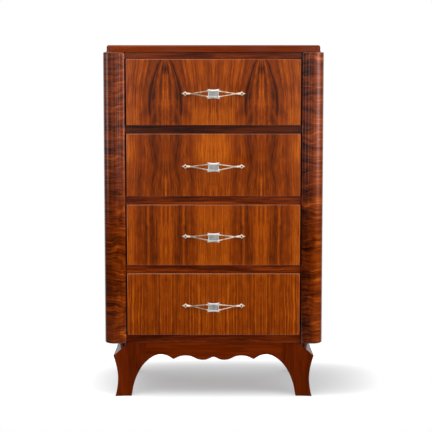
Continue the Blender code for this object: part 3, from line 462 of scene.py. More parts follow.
def front_veneer():
    """Book-matched walnut: growth rings cut by the sheet, on a paler core that shows where a surface turns
    away from the front, made pale enough there to paint the highlight along the top edges.
    """
    paint = Paint("figured_walnut")
    x, _, z = paint.place()
    across = abs(abs(x) + (-LEAF_SEAM))
    drift = paint.noise(x * 9, 0, z * 6) * SEAM_DRIFT
    across = paint.math("SMOOTH_MAX", across + drift, 0.0, SEAM_SOFTNESS)

    below = paint.math("MAXIMUM", z * -1 + FLAME_TOP, 0.001)
    flame = paint.math("SMOOTH_MIN", paint.math("SQRT", below * FLAME_SPREAD), FLAME_RING, FLAME_SHOULDER)
    flame = flame - paint.rise(z, *FLAME_FOOT) * FLAME_NARROWING
    width = flame + (flame * -1 + FLAME_RING) * paint.rise(z, *FLAME_END)
    inside = paint.math("DIVIDE", across, width) * FLAME_RING
    away = paint.math("EXPONENT", (across - width) * (-1 / FLAME_REACH))
    ring = paint.math("MINIMUM", inside, across + (width * -1 + FLAME_RING) * away)
    ring = ring + across * paint.hump(across * 24, (z - PINCH_HEIGHT) * 20) * PINCH
    knot = paint.hump((across - KNOT_ACROSS) * 120, (z - KNOT_HEIGHT) * 120)
    ring = ring + paint.noise(across * 20, 2.0, z * 9) * 0.008 + knot * 0.003
    ring = ring + paint.noise(across * 90, 6.0, z * 26, detail=3) * 0.005

    tone = None
    for tones, edge in FIGURE:
        drawer = paint.ramp(ring * (1 / RING_SPAN), [(place / RING_SPAN, level) for place, level in tones])
        tone = drawer if tone is None else tone + (drawer - tone) * paint.rise(z, *edge)
    plain = paint.rise(z, *PLAIN_SPAN) * 0.70
    broad, band, streak, dash, fibre = (
        paint.noise(ring * rings, seed, z * heights, detail=detail, roughness=roughness)
        for rings, seed, heights, detail, roughness in GRAIN
    )
    curl = paint.noise(across * 45, 4.0, z * 22, detail=3, roughness=0.6)
    heart = paint.hump(across * 110, (z - HEART_HEIGHT) * 75)
    broken = paint.noise(across * 60, 8.0, z * 40) * 1.2 + 0.9
    outline = paint.hump((ring - FLAME_RING) * 420) * paint.rise(z, *OUTLINE_SPAN) * broken
    smoke = paint.hump((ring - FLAME_RING) * 110) * paint.rise(z, *SMOKE_FOOT) * paint.rise(z, *SMOKE_HEAD)
    first = paint.rise(z, *FADED_FOOT)
    faded = paint.hump((ring - FLAME_RING * 0.85) * 70) * paint.rise(z, *FADED_HEAD) * first
    glow = paint.hump((z - GLOW_HEIGHT) * 14) * paint.rise(across, *GLOW_ACROSS)
    sunny = paint.rise(ring, *SUNNY_RINGS) * first
    calm = paint.rise(z, *CALM_SPAN)
    feather = paint.rise(ring, FLAME_RING, FLAME_RING * 0.8) * paint.rise(z, *FEATHER_FOOT)

    level = tone + (tone * -1 + 0.57) * plain + paint.rise(z, *SUNNY_HEIGHT) * sunny * 0.12
    level = level + broad * 0.25 + band * (calm * -0.10 + 0.60) + streak * (plain * 1.1 + 0.95)
    level = level + fibre * 0.70 + curl * (feather * 0.6 + 0.60) + dash * (plain * -0.9 + 0.75)
    level = level - knot * 0.22 - heart * 0.38 + glow * 0.24
    # painted shade: the fronts darken a little towards the left
    level = level - outline * 0.52 - smoke * 0.13 + faded * 0.12 - paint.rise(x, *PAINTED_LEFT_SHADE) * 0.045
    face = paint.ramp(level, FRONT_TONES)
    _, facing, _ = paint.place("Normal")
    turned = paint.rise(facing, *CORE_FACING)
    # core wood, its pale tone partly a painted highlight on the top edges
    core = paint.ramp(streak + fibre + 0.5, CORE_AND_EDGE_HIGHLIGHT_TONES)
    paint.bump(streak * 0.4 + fibre, WOOD_RELIEF)
    return paint.finish(
        base_color=paint.mix(turned, face, core),
        roughness=fibre * 0.15 + curl * 0.08 + 0.30,
        **POLISH,
    )


def post_veneer():
    """Cross-banded walnut: the grain runs round the post in waves, with painted light making each post
    lighter towards its right, as if lit from the right.
    """
    paint = Paint("cross_banded_walnut")
    x, y, z = paint.place()
    round_post = abs(x) - y
    apart = x * 3
    wave = paint.noise(round_post * 20, apart, z * 12)
    level = z + wave * 0.040
    broad = paint.noise(round_post * 10, apart, level * 30, detail=1)
    band = paint.noise(round_post * 12, apart, level * 85, detail=2, roughness=0.6)
    fine = paint.noise(round_post * 25, apart, level * 260)
    curl = paint.noise(round_post * 80, apart, z * 30)
    # painted light and shade: each post lighter towards its right, the right one darker on its flank
    left = paint.rise(x, *LEFT_POST_SPAN) * 0.16 - 0.08
    right = paint.rise(x, *RIGHT_POST_SPAN) * 0.41 - paint.rise(y, *RIGHT_POST_FLANK) * 0.20 - 0.20
    side = left + (right - left) * paint.rise(x, *POST_CHANGE)
    tone = broad * 0.55 + band + fine + curl * 0.45 + side + 0.50
    colour = paint.ramp(tone, POST_TONES)
    paint.bump(band * 0.5 + fine, WOOD_RELIEF)
    return paint.finish(base_color=colour, metallic=0.5, roughness=fine * 0.1 + 0.50, **POST_FINISH)


def straight_wood(name, run, tones, roughness, fineness=1.0, contrast=1.0, worn=False, **finish):
    """Straight-grained wood; run is the axis that the grain follows, and tones go from dark to light.

    Worn wood keeps its polish only where it faces up.
    """
    paint = Paint(name)
    place = paint.place()

    def stretched(along, over, seed):
        parts = [value * (along if axis == run else over * fineness) for axis, value in zip("xyz", place)]
        parts[0] = parts[0] + seed
        return parts

    wander = paint.noise(*stretched(4, 9, 3.0))
    broad = paint.noise(*[part + wander * 1.2 for part in stretched(2.2, 24, 7.0)])
    streak = paint.noise(*[part + wander * 2.5 for part in stretched(7, 170, 1.0)], detail=3, roughness=0.6)
    pore = paint.noise(*stretched(45, 900, 5.0))
    tone = broad * 0.8 * contrast + streak * 0.7 * contrast + pore * 0.3 * contrast + 0.5
    colour = paint.ramp(tone, [(0.1, tones[0]), (0.5, tones[1]), (0.9, tones[2])])
    paint.bump(streak * 0.4 + pore, WOOD_RELIEF)
    if worn:
        finish["coat_weight"] = paint.rise(paint.place("Normal")[2], *WORN_FACING)
    return paint.finish(base_color=colour, roughness=pore * 0.12 + streak * 0.06 + roughness, **finish)


def nickel():
    """Polished cast nickel, clouded at random, with painted light: the ends pale and less metallic for a
    painted highlight, the arms a warm tone that paints the wood reflected in them, and the right arms painted
    brighter, as if lit from the right.
    """
    paint = Paint("nickel")
    x, y, z = paint.place()
    haze = paint.noise(x * 90, y * 90, z * 90, detail=3)
    grain = paint.noise(x * 900, y * 900, z * 900)
    end = paint.rise(abs(x), *NICKEL_END)
    plaque = paint.rise(abs(x), *NICKEL_PLAQUE)
    # painted light: the right arms made brighter, as if lit from the right, over random clouding
    rubbed = haze + paint.rise(x, *NICKEL_RIGHT_LIGHT) * 0.14
    arms = paint.ramp(rubbed + 0.42, ARM_TONES)
    # painted highlight: the ends are pale, and less metallic below
    ends = paint.ramp(haze + 0.5, END_HIGHLIGHT_TONES)
    rims = paint.ramp(haze + 0.5, RIM_TONES)
    colour = paint.mix(plaque, paint.mix(end, arms, ends), rims)
    paint.bump(haze * 0.6 + grain * 0.15, NICKEL_RELIEF)
    roughness = haze * 0.25 + grain * 0.05 + plaque * 0.08 + 0.36
    return paint.finish(base_color=colour, metallic=end * -0.45 + 0.85, roughness=roughness)


def satin_nickel():
    """The plaques' sunk panels, brushed upright to a soft grey."""
    paint = Paint("satin_nickel")
    x, y, z = paint.place()
    brush = paint.noise(x * 2600, y * 300, z * 130)
    cloud = paint.noise(x * 120, y * 120, z * 120)
    colour = paint.ramp(brush + cloud + 0.5, PANEL_TONES)
    paint.bump(brush, PANEL_RELIEF)
    return paint.finish(base_color=colour, metallic=0.85, roughness=brush * 0.2 + 0.38)


def screw_steel():
    """Darkened steel, a little rubbed."""
    paint = Paint("screw_steel")
    x, y, z = paint.place()
    rub = paint.noise(x * 700, y * 700, z * 700, detail=3)
    colour = paint.ramp(rub + 0.5, STEEL_TONES)
    paint.bump(rub, STEEL_RELIEF)
    return paint.finish(base_color=colour, metallic=1.0, roughness=rub * 0.3 + 0.42)


# Shapes

def arc(centre, radii, start, end, steps):
    """Points on part of an ellipse, angles in degrees."""
    angles = [math.radians(start + (end - start) * step / steps) for step in range(steps + 1)]
    return [(centre[0] + radii[0] * math.cos(a), centre[1] + radii[1] * math.sin(a)) for a in angles]


def quarter_turns():
    """Angles from 0 to a right angle, in even steps."""
    return [math.pi / 2 * step / ROUND_STEPS for step in range(ROUND_STEPS + 1)]


def rounding(radius):
    """Insets and depths along a rounded-over edge, from its face to its side."""
    return [(radius * (1 - math.sin(a)), radius * (1 - math.cos(a))) for a in quarter_turns()]


def full_turn(count):
    """Angles all round, in even steps."""
    return [2 * math.pi * i / count for i in range(count)]


def bezier(start, first, second, end, steps=CURVE_STEPS):
    """Points on a cubic curve, both ends included."""
    points = []
    for step in range(steps + 1):
        t = step / steps
        weights = ((1 - t) ** 3, 3 * t * (1 - t) ** 2, 3 * t * t * (1 - t), t ** 3)
        corners = (start, first, second, end)
        points.append(tuple(sum(w * p[i] for w, p in zip(weights, corners)) for i in range(2)))
    return points


def finished_mesh(name, shape):
    """A mesh from a bmesh, faces out, smooth but for its creases."""
    bmesh.ops.recalc_face_normals(shape, faces=shape.faces)
    mesh = bpy.data.meshes.new(name)
    shape.to_mesh(mesh)
    shape.free()
    mesh.shade_smooth()
    mesh.set_sharp_from_angle(angle=SMOOTH_ANGLE)
    return mesh


def loft(name, rings):
    """Closed skin through rings of points, all of one count."""
    shape = bmesh.new()
    rows = [[shape.verts.new(point) for point in ring] for ring in rings]
    for lower, upper in zip(rows, rows[1:]):
        for i in range(len(lower)):
            j = (i + 1) % len(lower)
            shape.faces.new((lower[i], lower[j], upper[j], upper[i]))
    shape.faces.new(rows[0])
    shape.faces.new(rows[-1])
    return finished_mesh(name, shape)


def new_object(name, mesh, *materials):
    made = bpy.data.objects.new(name, mesh)
    bpy.context.scene.collection.objects.link(made)
    for material in materials:
        mesh.materials.append(material)
    return made


def piece(name, mesh, body, slot, replaced, *materials):
    """A new piece that rides on a body and stands for a node."""
    made = new_object(name, mesh, *materials)
    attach(made, body)
    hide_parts(replaced)
    return made


def weld(made, distance=WELD_DISTANCE):
    """Points closer than the distance become one."""
    modifier = made.modifiers.new("weld", "WELD")
    modifier.merge_threshold = distance


def solid(base, additions=(), cuts=(), bounds=(), triangles=False):
    """The base joined with some meshes, cut by others and kept within the last ones, without materials."""
    body = new_object("solid", base)
    weld(body)
    helpers = []
    for operation, meshes in (("UNION", additions), ("DIFFERENCE", cuts), ("INTERSECT", bounds)):
        for mesh in meshes:
            helper = new_object("helper", mesh)
            modifier = body.modifiers.new(operation, "BOOLEAN")
            modifier.operation = operation
            modifier.solver = "MANIFOLD"
            modifier.object = helper
            helpers.append(helper)
    weld(body)
    if triangles:
        body.modifiers.new("triangles", "TRIANGULATE")
    bpy.context.view_layer.update()
    depsgraph = bpy.context.evaluated_depsgraph_get()
    mesh = bpy.data.meshes.new_from_object(body.evaluated_get(depsgraph))
    for extra in [body, *helpers]:
        bpy.data.objects.remove(extra)
    mesh.materials.clear()
    mesh.shade_smooth()
    mesh.set_sharp_from_angle(angle=SMOOTH_ANGLE)
    return mesh


def level_flats(made, keep_sharp=True):
    """Shading that leaves the flats flat beside their rounded edges."""
    weigh = made.modifiers.new("flats", "WEIGHTED_NORMAL")
    weigh.weight = FLAT_WEIGHT
    weigh.keep_sharp = keep_sharp


def soften(made, width, limit=ARRIS_CREASE):
    """Fine rounded arrises."""
    bevel = made.modifiers.new("arris", "BEVEL")
    bevel.width = width
    bevel.segments = ARRIS_SEGMENTS
    bevel.limit_method = "ANGLE"
    bevel.angle_limit = math.radians(limit)
    bevel.use_clamp_overlap = True
    weld(made, FINE_WELD)
    level_flats(made, False)


def dress(name, material, arris=BOX_ARRIS):
    """A frame node kept as it is, with its own wood and softened arrises."""
    node = NODES[name]
    node.data.materials.clear()
    node.data.materials.append(material)
    node.data.shade_smooth()
    weld(node)
    merge = node.modifiers.new("flat", "DECIMATE")
    merge.decimate_type = "DISSOLVE"
    merge.angle_limit = FLAT_ANGLE
    soften(node, arris)


# Pieces

def make_top_board(material):
    """The board's outline drawn in along a profile: bead, face and rounded upper edge."""
    low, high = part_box("top_board")
    profile = [(TOP_BEAD_PROUD / 2, 0.0)]
    bead = TOP_BEAD / 2
    for angle in BEAD_ANGLES:
        reach = math.cos(math.radians(angle))
        profile.append((TOP_BEAD_PROUD * (1 - reach), bead * (1 + math.sin(math.radians(angle)))))
    face = high.z - low.z - TOP_ROUND
    for turn in quarter_turns():
        inset = TOP_BEAD_PROUD + TOP_ROUND * (1 - math.cos(turn))
        profile.append((inset, face + TOP_ROUND * math.sin(turn)))
    rings = []
    for inset, rise in profile:
        left, right, front = low.x + inset, high.x - inset, low.y + inset
        radius = TOP_CORNER_RADIUS - inset / 2
        corner = (radius, radius)
        plan = [(right, high.y), (left, high.y)]
        plan += arc((left + radius, front + radius), corner, 180, 270, ROUND_STEPS)
        plan += arc((right - radius, front + radius), corner, 270, 360, ROUND_STEPS)
        rings.append([(x, y, low.z + rise) for x, y in plan])
    piece("polished_top", loft("polished_top", rings), "carcass", "case_wood", "top_board", material)


def make_fronts(material):
    """Each drawer front as the frame has it, joints and all, with its face's edges rounded over."""
    for number in DRAWERS:
        body = f"drawer_{number}"
        node = f"{body}_front"
        low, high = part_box(node)
        rows = rounding(FRONT_ROUND)
        rows += [(-FRONT_ROUND, FRONT_ROUND * FRONT_SHOULDER), (-FRONT_ROUND, high.y - low.y + FRONT_ROUND)]
        rings = []
        for inset, depth in rows:
            inset, depth = inset - FRONT_SKIM, depth + FRONT_SKIM
            left, right, foot, head = low.x + inset, high.x - inset, low.z + inset, high.z - inset
            corners = ((left, foot), (right, foot), (right, head), (left, head))
            rings.append([(x, low.y + depth, z) for x, z in corners])
        mesh = solid(NODES[node].data.copy(), bounds=[loft("blank", rings)])
        level_flats(piece(f"{body}_veneered_front", mesh, body, "front_veneer", node, material))


def make_posts(material):
    """Round-fronted posts whose face turns gently away towards the drawers."""
    for word, side in SIDES:
        node = f"{word}_corner_post"
        low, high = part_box(node)
        outer, inner = max(abs(low.x), abs(high.x)), min(abs(low.x), abs(high.x))
        ease, edge = POST_INNER_ROUND, outer - POST_ROUND_WIDTH
        lean, fall = math.sin(math.radians(POST_TILT)), math.cos(math.radians(POST_TILT))
        broad = (edge - inner - ease * (1 - lean)) / lean
        inner_centre = (inner + ease, low.y + broad - (broad - ease) * fall)
        meet = 270 - POST_TILT
        curves = (
            (inner_centre, (ease, ease), (180, meet, ROUND_STEPS)),
            ((edge, low.y + broad), (broad, broad), (meet, 270, ROUND_STEPS)),
            ((edge, low.y + POST_ROUND_DEPTH), (POST_ROUND_WIDTH, POST_ROUND_DEPTH), (270, 360, FINE_STEPS)),
        )
        foot = rounding(POST_END_ROUND)
        height = high.z - low.z
        rings = []
        for inset, rise in foot + [(inset, height - rise) for inset, rise in reversed(foot)]:
            plan = [(outer - inset, high.y), (inner + inset, high.y)]
            for centre, radii, turn in curves:
                plan += arc(centre, [radius - inset for radius in radii], *turn)[:-1]
            plan.append((outer - inset, low.y + POST_ROUND_DEPTH))
            rings.append([(side * x, y, low.z + rise) for x, y in plan])
        piece(f"{word}_polished_post", loft(node, rings), "carcass", "post_veneer", node, material)


def base_heights():
    """Heights of the base's joint, arch, knee and top, from a leg."""
    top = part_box("front_left_leg")[1].z
    arch = top - APRON_DEPTH
    return arch - ARCH_RISE, arch, top - KNEE_DROP, top


def leg_outset(height, knee, top):
    """How far the leg's outer corner stands outside the apron's face."""
    if height < ANKLE_HEIGHT:
        return ANKLE_OUTSET + (TOE_OUTSET - ANKLE_OUTSET) * (1 - height / ANKLE_HEIGHT) ** 2
    if height < knee:
        share = (height - ANKLE_HEIGHT) / (knee - ANKLE_HEIGHT)
        return ANKLE_OUTSET + (KNEE_OUTSET - ANKLE_OUTSET) * share ** KNEE_SWELL
    return KNEE_OUTSET * (1 - (height - knee) / (top - knee)) ** CANT_HOLLOW


def leg_cant(height, knee, top):
    """Size of the corner's easing, which opens from the knee to the top."""
    if height <= knee:
        return LEG_ARRIS
    share = (height - knee) / (top - knee)
    edge = KNEE_OUTSET - LEG_ARRIS + (LEG_ARRIS - CORNER_CANT - KNEE_OUTSET) * share
    return leg_outset(height, knee, top) - edge


def leg_stations(joint, knee, top):
    """Length of the leg's wings behind the apron's face, with the height of each section."""
    foot = FOOT_WIDTH - TOE_OUTSET
    stations = bezier(
        (foot, 0),
        (foot + FOOT_SWEEP_IN, FOOT_SWEEP_UP),
        (LEG_WING - ARCH_SHOULDER, joint - ARCH_SHOULDER),
        (LEG_WING, joint),
        steps=2 * CURVE_STEPS,
    )
    for start, end in ((joint, knee), (knee, top)):
        stations += [(LEG_WING, start + (end - start) * i / CURVE_STEPS) for i in range(1, CURVE_STEPS + 1)]
    return stations


def leg_section(wing, height, knee, top):
    """L-shaped plan of a leg, outwards from where the apron faces would cross, its outer corner eased."""
    out = leg_outset(height, knee, top)
    forward = out * OUTSET_FORWARD_SHARE
    cant = leg_cant(height, knee, top)
    back = LEG_ARRIS + CANT_DEPTH * (1 - min(1, (top - height) / (top - knee)) ** 2)
    inside = LEG_INNER_STEP + TOE_OUTSET - FOOT_WIDTH
    front = []
    for step in range(ROUND_STEPS):
        share = step / ROUND_STEPS
        front.append((-wing + (wing + out - cant) * share, forward * share ** 2))
    corner = []
    for turn in quarter_turns():
        across = math.sin(turn) ** (2 / CORNER_FULLNESS)
        along = math.cos(turn) ** (2 / CORNER_FULLNESS)
        corner.append((out - cant * (1 - across), forward - back * (1 - along)))
    flank = []
    for step in range(1, ROUND_STEPS + 1):
        share = 1 - step / ROUND_STEPS
        run = share * (wing + forward - back)
        full = run / (wing + forward)
        flank.append((out * (full + full ** 2 - full ** 3), run - wing))
    return front + corner + flank + [(inside, -wing), (inside, inside), (-wing, inside)]


def make_legs(material):
    joint, _, knee, top = base_heights()
    for depth_word, end in ENDS:
        for side_word, side in SIDES:
            name = f"{depth_word}_{side_word}"
            node = f"{name}_leg"
            low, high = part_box(node)
            corner_x = side * (max(abs(low.x), abs(high.x)) - KNEE_OUTSET)
            reach = KNEE_OUTSET * OUTSET_FORWARD_SHARE
            corner_y = low.y + reach if end < 0 else high.y - reach
            rings = []
            for wing, height in leg_stations(joint, knee, top):
                plan = leg_section(wing, height, knee, top)
                rings.append([(corner_x + side * u, corner_y + end * v, height) for u, v in plan])
            made = piece(f"{name}_bracket_leg", loft(node, rings), "carcass", "case_wood", node, material)
            soften(made, APRON_ARRIS, LEG_CREASE)


def apron_arch(half, joint, arch):
    """Lower edge of one half of an apron, from the leg's joint to the top of the arch."""
    shoulder = ARCH_SHOULDER / 2
    top = (half - ARCH_REACH, arch)
    lead = (top[0] + ARCH_REACH / 3, arch)
    return bezier((half, joint), (half - shoulder, joint + shoulder), lead, top)


def curve_down(top, point):
    """From a level crown down to a sharp point."""
    run = point[0] - top[0]
    fall = point[1] - top[1]
    return bezier(top, (top[0] + run / 2, top[1]), (point[0] - run / 3, point[1] - fall / 2), point)


def scallops(half, joint, arch):
    """Lower edge of one half of the front apron: arch, cusp, small arch, lobe and centre notch."""
    span = half - ARCH_REACH
    cusp = (span * CUSP_PLACE, arch - CUSP_DROP)
    small = (span * SMALL_ARCH_PLACE, arch - SMALL_ARCH_DROP)
    lobe = (span * LOBE_PLACE, arch - LOBE_DROP)
    notch = (0, arch - NOTCH_DROP)
    points = apron_arch(half, joint, arch)
    points += curve_down((span, arch), cusp)[1:]
    points += curve_down(small, cusp)[-2::-1]
    reach = (small[0] - lobe[0]) / 2
    points += bezier(small, (small[0] - reach, small[1]), (lobe[0] + reach, lobe[1]), lobe)[1:]
    points += bezier(lobe, (lobe[0] / 2, lobe[1]), (lobe[0] / 4, notch[1]), notch)[1:]
    return points


def make_apron(name, run, edge, material):
    """A board between two legs along one axis, its lower edge cut by a curve."""
    low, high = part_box(name)
    joint, arch, _, top = base_heights()
    along = 0 if run == "x" else 1
    centre = (low[along] + high[along]) / 2
    half = (high[along] - low[along]) / 2 - APRON_TENON_LENGTH - FIT_GAP
    right = edge(half, joint, arch)
    left = [(-u, v) for u, v in right[::-1] if u > 0]
    outline = [(-half, top), (half, top)] + right + left
    faces = []
    for depth in (low[1 - along], high[1 - along]):
        faces.append([(centre + u, depth, v) if run == "x" else (depth, centre + u, v) for u, v in outline])
    made = piece(f"shaped_{name}", loft(name, faces), "carcass", "case_wood", name, material)
    soften(made, APRON_ARRIS, APRON_CREASE)


def plate_outline(width, height, waist, inset):
    """Rectangle whose edges curve in by a waist between its corners, moved in by an inset."""
    half_w, half_h = width / 2 - inset, height / 2 - inset
    corners = [(half_w, half_h), (-half_w, half_h), (-half_w, -half_h), (half_w, -half_h)]
    points = []
    for i, (start, end) in enumerate(zip(corners, corners[1:] + corners[:1])):
        inward = ((0, -1), (1, 0), (0, 1), (-1, 0))[i]
        for step in range(ROUND_STEPS * 2):
            t = step / (ROUND_STEPS * 2)
            dip = 4 * t * (1 - t) * waist
            points.append(tuple(a + (b - a) * t + dip * n for a, b, n in zip(start, end, inward)))
    return points


def plaque_mesh():
    """Raised plate whose rim swells up to the lip of a sunk panel."""
    front = -PULL_REACH
    back = front + PLAQUE_THICKNESS
    plate = (PLAQUE_WIDTH, PLAQUE_HEIGHT, PLAQUE_WAIST)
    panel = (PANEL_WIDTH, PANEL_HEIGHT, 0)
    rows = [
        (plate, PLAQUE_EDGE, back),
        (plate, 0, back - PLAQUE_EDGE),
        (plate, 0, front + PLAQUE_CROWN),
        *[(plate, PLAQUE_EDGE * inset, front + PLAQUE_CROWN * share) for inset, share in PLAQUE_SWELL],
        (panel, -PANEL_LIP, front),
        (panel, 0, front + PANEL_DEPTH * PANEL_LIP_DEPTH),
        (panel, 0, front + PANEL_DEPTH),
    ]
    rings = [[(u, depth, v) for u, v in plate_outline(*form, inset)] for form, inset, depth in rows]
    return loft("plaque", rings)


def tube(start, end, start_radius, end_radius):
    """A straight round bar between two points."""
    turn = (end - start).to_track_quat("Z", "Y").to_matrix()
    rings = []
    for centre, radius in ((start, start_radius), (end, end_radius)):
        spokes = [Vector((radius * math.cos(a), radius * math.sin(a), 0)) for a in full_turn(BAR_SIDES)]
        rings.append([centre + turn @ spoke for spoke in spokes])
    return loft("bar", rings)


def end_mesh(screw_x):
    """Four-pointed end, sloping up to a flat round the screw's seat."""
    angles = full_turn(8 * ROUND_STEPS)

    def power(value):
        return math.copysign(abs(value) ** (2 / END_HOLLOW), value)

    star = [(END_REACH * power(math.cos(a)), END_HALF_HEIGHT * power(math.sin(a))) for a in angles]
    seat = [(SEAT_RADIUS * math.cos(a), SEAT_RADIUS * math.sin(a)) for a in angles]
    share, rest = END_CROWN
    crown = [(u * share + s * rest, v * share + t * rest) for (u, v), (s, t) in zip(star, seat)]
    rows = [
        (star, -FIT_GAP),
        (star, -END_WALL),
        (crown, -END_THICKNESS),
        (seat, -END_THICKNESS),
        (seat, SEAT_DEPTH - END_THICKNESS),
    ]
    return loft("end", [[(screw_x + u, depth, v) for u, v in ring] for ring, depth in rows])


def pull_mesh():
    """Cast pull: plaque, two collared arms each side, and a pointed end round each screw."""
    additions = []
    middle = -PULL_REACH + PLAQUE_THICKNESS / 2
    for _, side in SIDES:
        screw_x = side * PULL_SPAN / 2
        additions.append(end_mesh(screw_x))
        fork = Vector((screw_x - side * BAR_LENGTH, -FORK_HEIGHT, 0))
        bar_start = Vector((screw_x - side * BAR_START, -END_THICKNESS / 2, 0))
        bar_end = fork + (fork - bar_start).normalized() * ARM_OVERLAP
        additions.append(tube(bar_start, bar_end, BAR_RADIUS, BAR_TIP_RADIUS))
        for up in (1, -1):
            tip = Vector((side * (PLAQUE_WIDTH / 2 - PLAQUE_WAIST - ARM_OVERLAP), middle, up * ARM_SPREAD))
            additions.append(tube(fork, tip, *[ARM_RADIUS * share for share in ARM_TAPER]))
            collar = tip + (fork - tip).normalized() * (ARM_OVERLAP + COLLAR_LENGTH)
            additions.append(tube(collar, tip, COLLAR_RADIUS, COLLAR_RADIUS))
    return solid(plaque_mesh(), additions, triangles=True)


def screw_mesh():
    """Screw with a domed, slotted head towards the front, the head's underside at its origin."""
    profile = [
        (SCREW_TIP, -SCREW_HEAD_HEIGHT),
        *[(SCREW_HEAD_RADIUS * across, -SCREW_HEAD_HEIGHT * rise) for across, rise in SCREW_DOME],
        (SCREW_HEAD_RADIUS, 0),
        (SCREW_SHANK_RADIUS, 0),
        (SCREW_SHANK_RADIUS, SCREW_LENGTH * SCREW_TAPER),
        (SCREW_TIP, SCREW_LENGTH),
    ]
    angles = full_turn(FINE_STEPS)
    turned = loft("screw", [[(r * math.cos(a), y, r * math.sin(a)) for a in angles] for r, y in profile])
    slot = bmesh.new()
    bmesh.ops.create_cube(slot, size=1)
    size = (SCREW_HEAD_RADIUS * 3, SCREW_SLOT_DEPTH * 2, SCREW_SLOT_WIDTH)
    bmesh.ops.scale(slot, vec=size, verts=slot.verts)
    tilt = Matrix.Rotation(math.radians(SCREW_SLOT_TURN), 3, "Y")
    bmesh.ops.rotate(slot, matrix=tilt, verts=slot.verts)
    bmesh.ops.translate(slot, vec=(0, -SCREW_HEAD_HEIGHT, 0), verts=slot.verts)
    return solid(turned, cuts=[finished_mesh("slot", slot)])


def placed(mesh, *place):
    """A copy of a mesh, moved to its place."""
    shape = mesh.copy()
    shape.transform(Matrix.Translation(place))
    return shape


def make_pulls(bright, satin, dark):
    """A pull and two screws on each drawer, where the frame has them."""
    pull = pull_mesh()
    pull.materials.append(bright)
    pull.materials.append(satin)
    floor = -PULL_REACH + PANEL_DEPTH
    for face in pull.polygons:
        centre = face.center
        inside = abs(centre.x) < PANEL_WIDTH / 2 and abs(centre.z) < PANEL_HEIGHT / 2
        if inside and abs(centre.y - floor) < FIT_GAP:
            face.material_index = 1
    screw = screw_mesh()
    screw.materials.append(dark)
    for number in DRAWERS:
        body = f"drawer_{number}"
        node = f"{body}_pull"
        low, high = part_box(node)
        piece(f"{body}_cast_pull", placed(pull, 0, FACE_Y, (low.z + high.z) / 2), body, "nickel", node)
        for word, _ in SIDES:
            node = f"{body}_{word}_screw"
            low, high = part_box(node)
            shape = placed(screw, (low.x + high.x) / 2, low.y + SCREW_HEAD_HEIGHT, (low.z + high.z) / 2)
            piece(f"{body}_{word}_slotted_screw", shape, body, "screw_steel", node)


def dress_frame():
    """The nodes that stay: their woods and their arrises."""
    woods = {name: straight_wood(name, run, tones, **finish) for name, run, tones, finish in FRAME_WOODS}
    dress("top_rail", woods["frieze_mahogany"], RAIL_ARRIS)
    for name in ("divider_rail_2", "divider_rail_3"):
        dress(name, woods["rail_mahogany"], RAIL_ARRIS)
    dress("divider_rail_1", woods["dark_rail_mahogany"], RAIL_ARRIS)
    dress("bottom_rail", woods["bottom_rail_mahogany"], RAIL_ARRIS)
    for word, _ in SIDES:
        dress(f"{word}_side_panel", woods["side_walnut"], SIDE_ARRIS)
    dress("back_panel", woods["back_board_ply"], BACK_ARRIS)
    dress("bottom_board", woods["drawer_bottom_ply"])
    for number in DRAWERS:
        dress(f"drawer_{number}_back", woods["drawer_back_beech"])
        dress(f"drawer_{number}_bottom", woods["drawer_bottom_ply"], THIN_ARRIS)
        for word, _ in SIDES:
            dress(f"drawer_{number}_{word}_side", woods["drawer_side_beech"], THIN_ARRIS)
            dress(f"{word}_runner_{number}", woods["drawer_side_beech"])


# Stage

def make_floor():
    """Pale floor that keeps the piece's shade near it and turns white further off, for the camera."""
    mesh = bpy.data.meshes.new("floor")
    half = FLOOR_HALF_WIDTH
    corners = [(-half, FLOOR_FRONT, 0), (half, FLOOR_FRONT, 0), (half, FLOOR_BACK, 0), (-half, FLOOR_BACK, 0)]
    mesh.from_pydata(corners, [], [(0, 1, 2, 3)])
    paint = Paint("pale_floor")
    x, y, _ = paint.place()
    across, along = (
        paint.math("POWER", abs((value - centre) * (1 / reach)), SHADE_SQUARENESS)
        for value, centre, reach in zip((x, y), SHADE_CENTRE, SHADE_REACH)
    )
    away = paint.rise(paint.math("SQRT", across + along), *SHADE_FADE)
    glow = paint.seen(FLOOR_SHINE) * (away * (1 - FLOOR_GLOW) + FLOOR_GLOW)
    material = paint.finish(
        base_color=FLOOR_COLOUR, roughness=0.9, specular_ior_level=0.0,
        emission_color=WHITE, emission_strength=glow,
    )
    floor = new_object("floor", mesh, material)


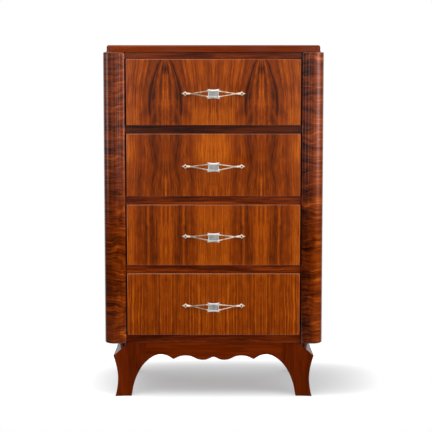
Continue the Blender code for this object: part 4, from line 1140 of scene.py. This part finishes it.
def make_world():
    """A studio: soft sky, dark floor and slim upright lights in front, and a white backdrop behind the piece.

    The camera sees white all round. Glossy and clear surfaces see the backdrop where it stands.
    """
    world = bpy.data.worlds.new("studio")
    bpy.context.scene.world = world
    paint = Paint("studio", world)
    x, y, z = paint.place("Generated")
    sky = paint.ramp(z * 0.5 + 0.5, SKY)
    turn = paint.math("ARCTAN2", x, y * -1)
    for angle, width, strength in STRIPS:
        strip = paint.hump((turn - math.radians(angle)) * (1 / math.radians(width)))
        sky = sky + strip * paint.rise(z, *STRIP_FOOT) * paint.rise(z, *STRIP_HEAD) * strength
    seen = paint.seen(paint.rise(y, *BACKDROP_EDGE))
    paint.finish(color=WHITE, strength=sky + (sky * -1 + 1) * seen)


def softbox(name, place, target, size, power):
    data = bpy.data.lights.new(name, "AREA")
    data.shape = "RECTANGLE"
    data.size, data.size_y = size
    data.energy = power
    lamp = bpy.data.objects.new(name, data)
    lamp.location = place
    lamp.rotation_euler = (Vector(target) - Vector(place)).to_track_quat("-Z", "Y").to_euler()
    lamp.visible_camera = False
    bpy.context.scene.collection.objects.link(lamp)


def make_camera():
    data = bpy.data.cameras.new("camera")
    data.lens = CAMERA_LENS
    data.sensor_width = CAMERA_SENSOR
    camera = bpy.data.objects.new("camera", data)
    camera.location = CAMERA_PLACE
    camera.rotation_euler = (math.radians(90 - CAMERA_PITCH), 0, 0)
    bpy.context.scene.collection.objects.link(camera)
    bpy.context.scene.camera = camera


make_camera()
make_floor()
make_world()
for lamp in LAMPS:
    softbox(*lamp)
bpy.context.scene.view_settings.view_transform = "Standard"

make_top_board(straight_wood("top_mahogany", "x", TOP_WOOD, **TOP_FINISH))
make_posts(post_veneer())
make_legs(straight_wood("leg_mahogany", "z", LEG_WOOD, **WORN_FINISH))
apron_wood = straight_wood("apron_mahogany", "x", APRON_WOOD, **WORN_FINISH)
make_apron("front_apron", "x", scallops, apron_wood)
make_apron("back_apron", "x", apron_arch, apron_wood)
side_apron_wood = straight_wood("side_apron_mahogany", "y", APRON_WOOD, **WORN_FINISH)
make_apron("left_apron", "y", apron_arch, side_apron_wood)
make_apron("right_apron", "y", apron_arch, side_apron_wood)
make_pulls(nickel(), satin_nickel(), screw_steel())
make_fronts(front_veneer())
dress_frame()

bpy.context.view_layer.update()
